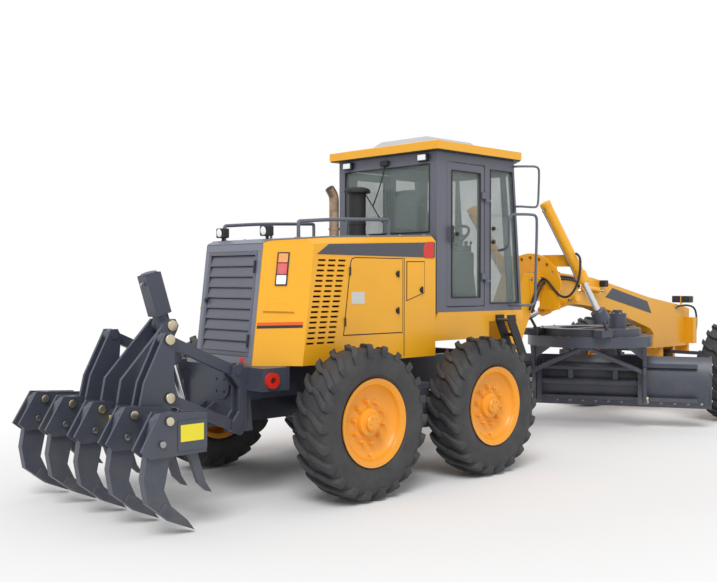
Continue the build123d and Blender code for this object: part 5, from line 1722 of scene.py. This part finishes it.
class GRADER_OT_blade(bpy.types.Operator):
    """Adds the cutting edge, bolts, braces, gussets, pins and drive around the circle and the blade
    """

    bl_idname = "grader.blade"
    bl_label = "Circle and blade"

    def execute(self, context):
        self.edge()
        self.circle()
        self.drawbar()
        return {"FINISHED"}

    def edge(self):
        shifted, half_length = 0.470, 1.855
        right, left = shifted - half_length, shifted + half_length
        front, middle_x, middle_z = 0.430, 0.150 + 0.430 + 0.022, 0.540

        def on_arc(radius, angle, y=None):
            """A point of the mouldboard's arc, by its angle from the arc's middle."""
            x, z = middle_x - radius * cos(radians(angle)), middle_z + radius * sin(radians(angle))
            return (x, z) if y is None else Vector((x, y, z))

        angles = (-42.2, -36, -30, -24)
        outline = [on_arc(front - 0.0003, a) for a in angles] + [
            on_arc(front - 0.014, a) for a in angles[::-1]
        ]
        strip = side_plate(outline, right + 0.020, left - 0.020, 0.002, 1)
        fit(moved(strip, BLADE_PLACE), "Cutting_edge", "blade", "rod_chrome", worn_steel())
        spots, backs = [], []
        count, row, inset, arm = 24, -33, 0.11, 0.585
        out = Vector((cos(radians(row)), 0, -sin(radians(row))))
        for number in range(count):
            y = right + inset + (left - right - 2 * inset) / (count - 1) * number
            spots.append(facing(on_arc(front - 0.014, row, y), out))
            if abs(abs(y) - arm) >= 0.07:
                backs.append(facing(on_arc(front + 0.022, row, y), -out))
        flat = cap(ORIGIN, 0.016, 0.0025, 14, 0.2)
        fit(
            moved(repeated(flat, spots), BLADE_PLACE),
            "Edge_bolts",
            "blade",
            "rod_chrome",
            worn_steel(),
        )
        fasten("Edge_nuts", "blade", backs, 0.026, 0.014, place=BLADE_PLACE)
        spots = []
        for y, side in ((right, -1), (left, 1)):
            for x, z in ((0.245, 0.330), (0.290, 0.480), (0.290, 0.640), (0.245, 0.760)):
                spots.append(facing((x, y, z), (0, side, 0), 10))
        fasten("End_bit_bolts", "blade", spots, 0.026, 0.010, place=BLADE_PLACE)
        posts = []
        for y in (-0.300, 0.220):
            outline = [(0.000, 0.742), (0.030, 0.750), (0.090, 0.582), (0.055, 0.570)]
            posts.append(side_plate(outline, y - 0.030, y + 0.030, 0.004))
        fit(
            moved(joined(posts), BLADE_PLACE),
            "Carriage_posts",
            "carriage",
            "frame_blue_grey",
            chassis_grey(),
        )
        corners = [(39, 1.60), (31, 1.60), (31, 1.74), (39, 1.74)]
        back = Vector((-cos(radians(33)), 0, sin(radians(33))))
        label = plate([on_arc(0.4525, angle, y) for angle, y in corners], back * 0.002, 0.0006, 1)
        fit(moved(label, BLADE_PLACE), "Blade_plate", "blade", "unit_grey", plain_plate())

    def circle(self):
        braces = []
        for side in (-1, 1):
            y = side * 0.622
            braces.append(
                tube(
                    [
                        (-0.650, side * 0.030, 0.995), (-0.600, side * 0.070, 0.965),
                        (-0.150, y - side * 0.02, 0.690),
                    ],
                    0.026,
                    2,
                )
            )
            braces.append(block((-0.190, y - 0.034, 0.655), (-0.110, y + 0.001, 0.730), 0.006))
        gussets = []
        for side in (-1, 1):
            corners = (
                (0.400, 0.9845), (0.658, 0.9845), (0.658, 0.760), (0.628, 0.760), (0.615, 0.824)
            )
            gussets.append(plate([(-0.074, side * y, z) for y, z in corners], (0.012, 0, 0), 0.003))
        fit(
            moved(joined(gussets), BLADE_PLACE),
            "Circle_gussets",
            "circle",
            "frame_blue_grey",
            deck_grey(),
        )
        pad = block((-0.700, -0.075, 0.960), (-0.610, 0.075, 0.9845), 0.005)
        fit(
            moved(joined(braces + [pad]), BLADE_PLACE),
            "Circle_braces",
            "circle",
            "frame_blue_grey",
            chassis_grey(),
        )
        spots = [facing((u, v, 1.105), (0, 0, 1)) for _, u, v in around(36, 0.690, 5)]
        fasten("Circle_bolts", "circle", spots, 0.022, 0.006, False, BLADE_PLACE)
        pins = []
        for side in (-1, 1):
            out = (0, side, 0)
            pins.append(cap(facing((0.050, side * 0.6603, 0.345), out), 0.042, 0.014, 28))
            for _, u, v in around(4, 0.026, 45):
                pins.append(
                    bolt(facing((0.050 + u, side * 0.674, 0.345 + v), out), 0.012, 0.006, False)
                )
        fit(moved(joined(pins), BLADE_PLACE), "Tilt_pins", "circle", "rod_chrome", zinc())

    def drawbar(self):
        yaw = shift(BALL_ALONG, 0, 0) @ turn(degrees(DRAWBAR_YAW), "Z")
        centre = -sqrt((BALL_ALONG - CIRCLE_ALONG) ** 2 + CIRCLE_ACROSS**2)
        drive_x, drive_y = centre + 0.120, -0.300
        profile = [
            (0, 1.400), (0.052, 1.400), (0.058, 1.394), (0.058, 1.366), (0.074, 1.360),
            (0.098, 1.358), (0.098, 1.352), (0, 1.352),
        ]
        motor = smooth(turned(profile, shift(drive_x, drive_y, 0), 28), 30)
        up = (0, 0, 1)
        spots = [facing((drive_x + u, drive_y + v, 1.360), up) for _, u, v in around(8, 0.086)]
        spots += [facing((centre + u, v, 1.190), up) for _, u, v in around(12, 0.566, 15)]
        fit(moved(motor, yaw), "Circle_drive", "drawbar", "frame_blue_grey", chassis_grey())
        fasten("Drawbar_bolts", "drawbar", spots, 0.020, 0.010, place=yaw)


class GRADER_OT_ripper(bpy.types.Operator):
    """Adds the ripper's cylinder cover, pins, tooth tips, stop heads and blank plates"""

    bl_idname = "grader.ripper"
    bl_label = "Ripper"

    def execute(self, context):
        pivot = Vector(RIPPER_PIVOT)
        up = (pivot - Vector(RIPPER_EYE)).normalized()
        across = Vector((up.z, 0, -up.x))
        cover = []
        for a, b in (
            ((-0.068, -0.066), (-0.064, 0.066)), ((0.064, -0.066), (0.068, 0.066)),
            ((-0.066, -0.070), (0.066, -0.066)), ((-0.066, 0.066), (0.066, 0.070)),
        ):
            corners = [(a[0], a[1]), (b[0], a[1]), (b[0], b[1]), (a[0], b[1])]
            outline = [pivot + up * 0.090 + across * u + Vector((0, v, 0)) for u, v in corners]
            cover.append(plate(outline, up * 0.330, 0.0015, 1))
        fit(joined(cover), "Ripper_cover", "ripper_barrel", "frame_blue_grey", chassis_grey())
        zincs, darks, tips = [], [], []
        for number in range(5):
            y = (number - 2) * 0.446
            for side in (-1, 1):
                zincs.append(facing((-2.545, y + side * 0.0745, 0.790), (0, side, 0)))
                darks.append(facing((-2.600, y + side * 0.0745, 0.640), (0, side, 0)))
            outline = [
                (-2.316, 0.0142), (-2.500, 0.094), (-2.606, 0.174), (-2.560, 0.236),
                (-2.495, 0.196), (-2.380, 0.096),
            ]
            tips.append(side_plate(outline, y - 0.040, y + 0.040, 0.006))
        fit(
            repeated(cap(ORIGIN, 0.031, 0.012, 18), zincs),
            "Shank_pin_heads",
            "ripper",
            "rod_chrome",
            zinc(),
        )
        fit(
            repeated(cap(ORIGIN, 0.024, 0.008, 18), darks),
            "Shank_stop_heads",
            "ripper",
            "rod_chrome",
            worn_steel(),
        )
        fit(joined(tips), "Ripper_tips", "ripper", "frame_blue_grey", worn_blue())
        link_ends = []
        for side in (-1, 1):
            for z in (1.305, 0.875):
                link_ends.append(
                    cap(facing((-2.205, side * 0.457, z), (0, side, 0)), 0.040, 0.012, 24)
                )
        for side in (-1, 1):
            link_ends.append(
                cap(facing((-1.970, side * 0.1300, 1.390), (0, side, 0)), 0.044, 0.014, 24)
            )
        fit(joined(link_ends), "Ripper_pin_heads", "ripper", "rod_chrome", zinc())
        plates = []
        for side in (-1, 1):
            outline = [(-2.455, 0.640), (-2.455, 0.755), (-2.265, 0.755), (-2.265, 0.640)]
            plates.append(flank(outline, side, 0.9603, 0.9643, 0.001, 1))
        plates.append(block((-2.4795, -0.200, 0.660), (-2.4752, 0.050, 0.740), 0.001))
        fit(joined(plates), "Ripper_plates", "ripper", "unit_grey", plain_plate())
        return {"FINISHED"}


class GRADER_OT_frame(bpy.types.Operator):
    """Adds the bolts and covers of the tandems and the step treads"""

    bl_idname = "grader.frame"
    bl_label = "Frames and axles"

    def execute(self, context):
        spots = []
        for side in (-1, 1):
            for x in (-0.45, -0.30, -0.15, 0.15, 0.30, 0.45):
                for z in (0.475, 0.765):
                    spots.append(facing((x, side * 0.7903, z), (0, side, 0)))
        fasten("Tandem_bolts", "machine", spots, 0.024, 0.010)
        covers = []
        for side in (-1, 1):
            for x in (-0.30, 0.30):
                outline = [(x + 0.100 * u, AXLE_HEIGHT + 0.080 * v) for _, u, v in around(12, 1.0)]
                covers.append(flank(outline, side, 0.7902, 0.800))
        fit(joined(covers), "Tandem_covers", "machine", "frame_blue_grey", chassis_grey())
        plates = []
        for side in (-1, 1):
            low, high = sorted((side * 0.680, side * 0.812))
            for k in range(5):
                x = 1.403 + 0.026 * k
                plates.append(block((x - 0.005, low, 1.3658), (x + 0.005, high, 1.3740), 0.002))
            for z, x in ((1.200, 1.510), (0.975, 1.634)):
                low, high = sorted((side * 0.680, side * 0.796))
                for k in range(4):
                    plates.append(
                        block(
                            (x + 0.016 + 0.026 * k - 0.005, low, z + 0.0218),
                            (x + 0.016 + 0.026 * k + 0.005, high, z + 0.030), 0.002,
                        )
                    )
        fit(joined(plates), "Step_treads", "machine", "rod_chrome", worn_steel())
        return {"FINISHED"}


class GRADER_PT_panel(bpy.types.Panel):
    """Lists the grader's pieces and sizes"""

    bl_label = "Grader"
    bl_idname = "GRADER_PT_panel"
    bl_space_type = "VIEW_3D"
    bl_region_type = "UI"
    bl_category = "Grader"

    def draw(self, context):
        for group in (context.scene.grader_sizes, context.scene.grader_paint):
            for key in group.__annotations__:
                self.layout.prop(group, key)
        for operator in OPERATORS:
            self.layout.operator(operator.bl_idname)


OPERATORS = (
    GRADER_OT_stage,
    GRADER_OT_finishes,
    GRADER_OT_tyres,
    GRADER_OT_rims,
    GRADER_OT_hood,
    GRADER_OT_lamps,
    GRADER_OT_stacks,
    GRADER_OT_rails,
    GRADER_OT_cab,
    GRADER_OT_neck,
    GRADER_OT_cylinders,
    GRADER_OT_blade,
    GRADER_OT_ripper,
    GRADER_OT_frame,
)
CLASSES = (GraderSizes, GraderPaint, *OPERATORS, GRADER_PT_panel)


def register():
    for item in CLASSES:
        bpy.utils.register_class(item)
    bpy.types.Scene.grader_sizes = bpy.props.PointerProperty(type=GraderSizes)
    bpy.types.Scene.grader_paint = bpy.props.PointerProperty(type=GraderPaint)


def unregister():
    del bpy.types.Scene.grader_paint
    del bpy.types.Scene.grader_sizes
    for item in reversed(CLASSES):
        bpy.utils.unregister_class(item)


def main():
    register()
    for operator in OPERATORS:
        group, action = operator.bl_idname.split(".")
        getattr(getattr(bpy.ops, group), action)()
    clear_selection()


if __name__ == "__main__":
    main()
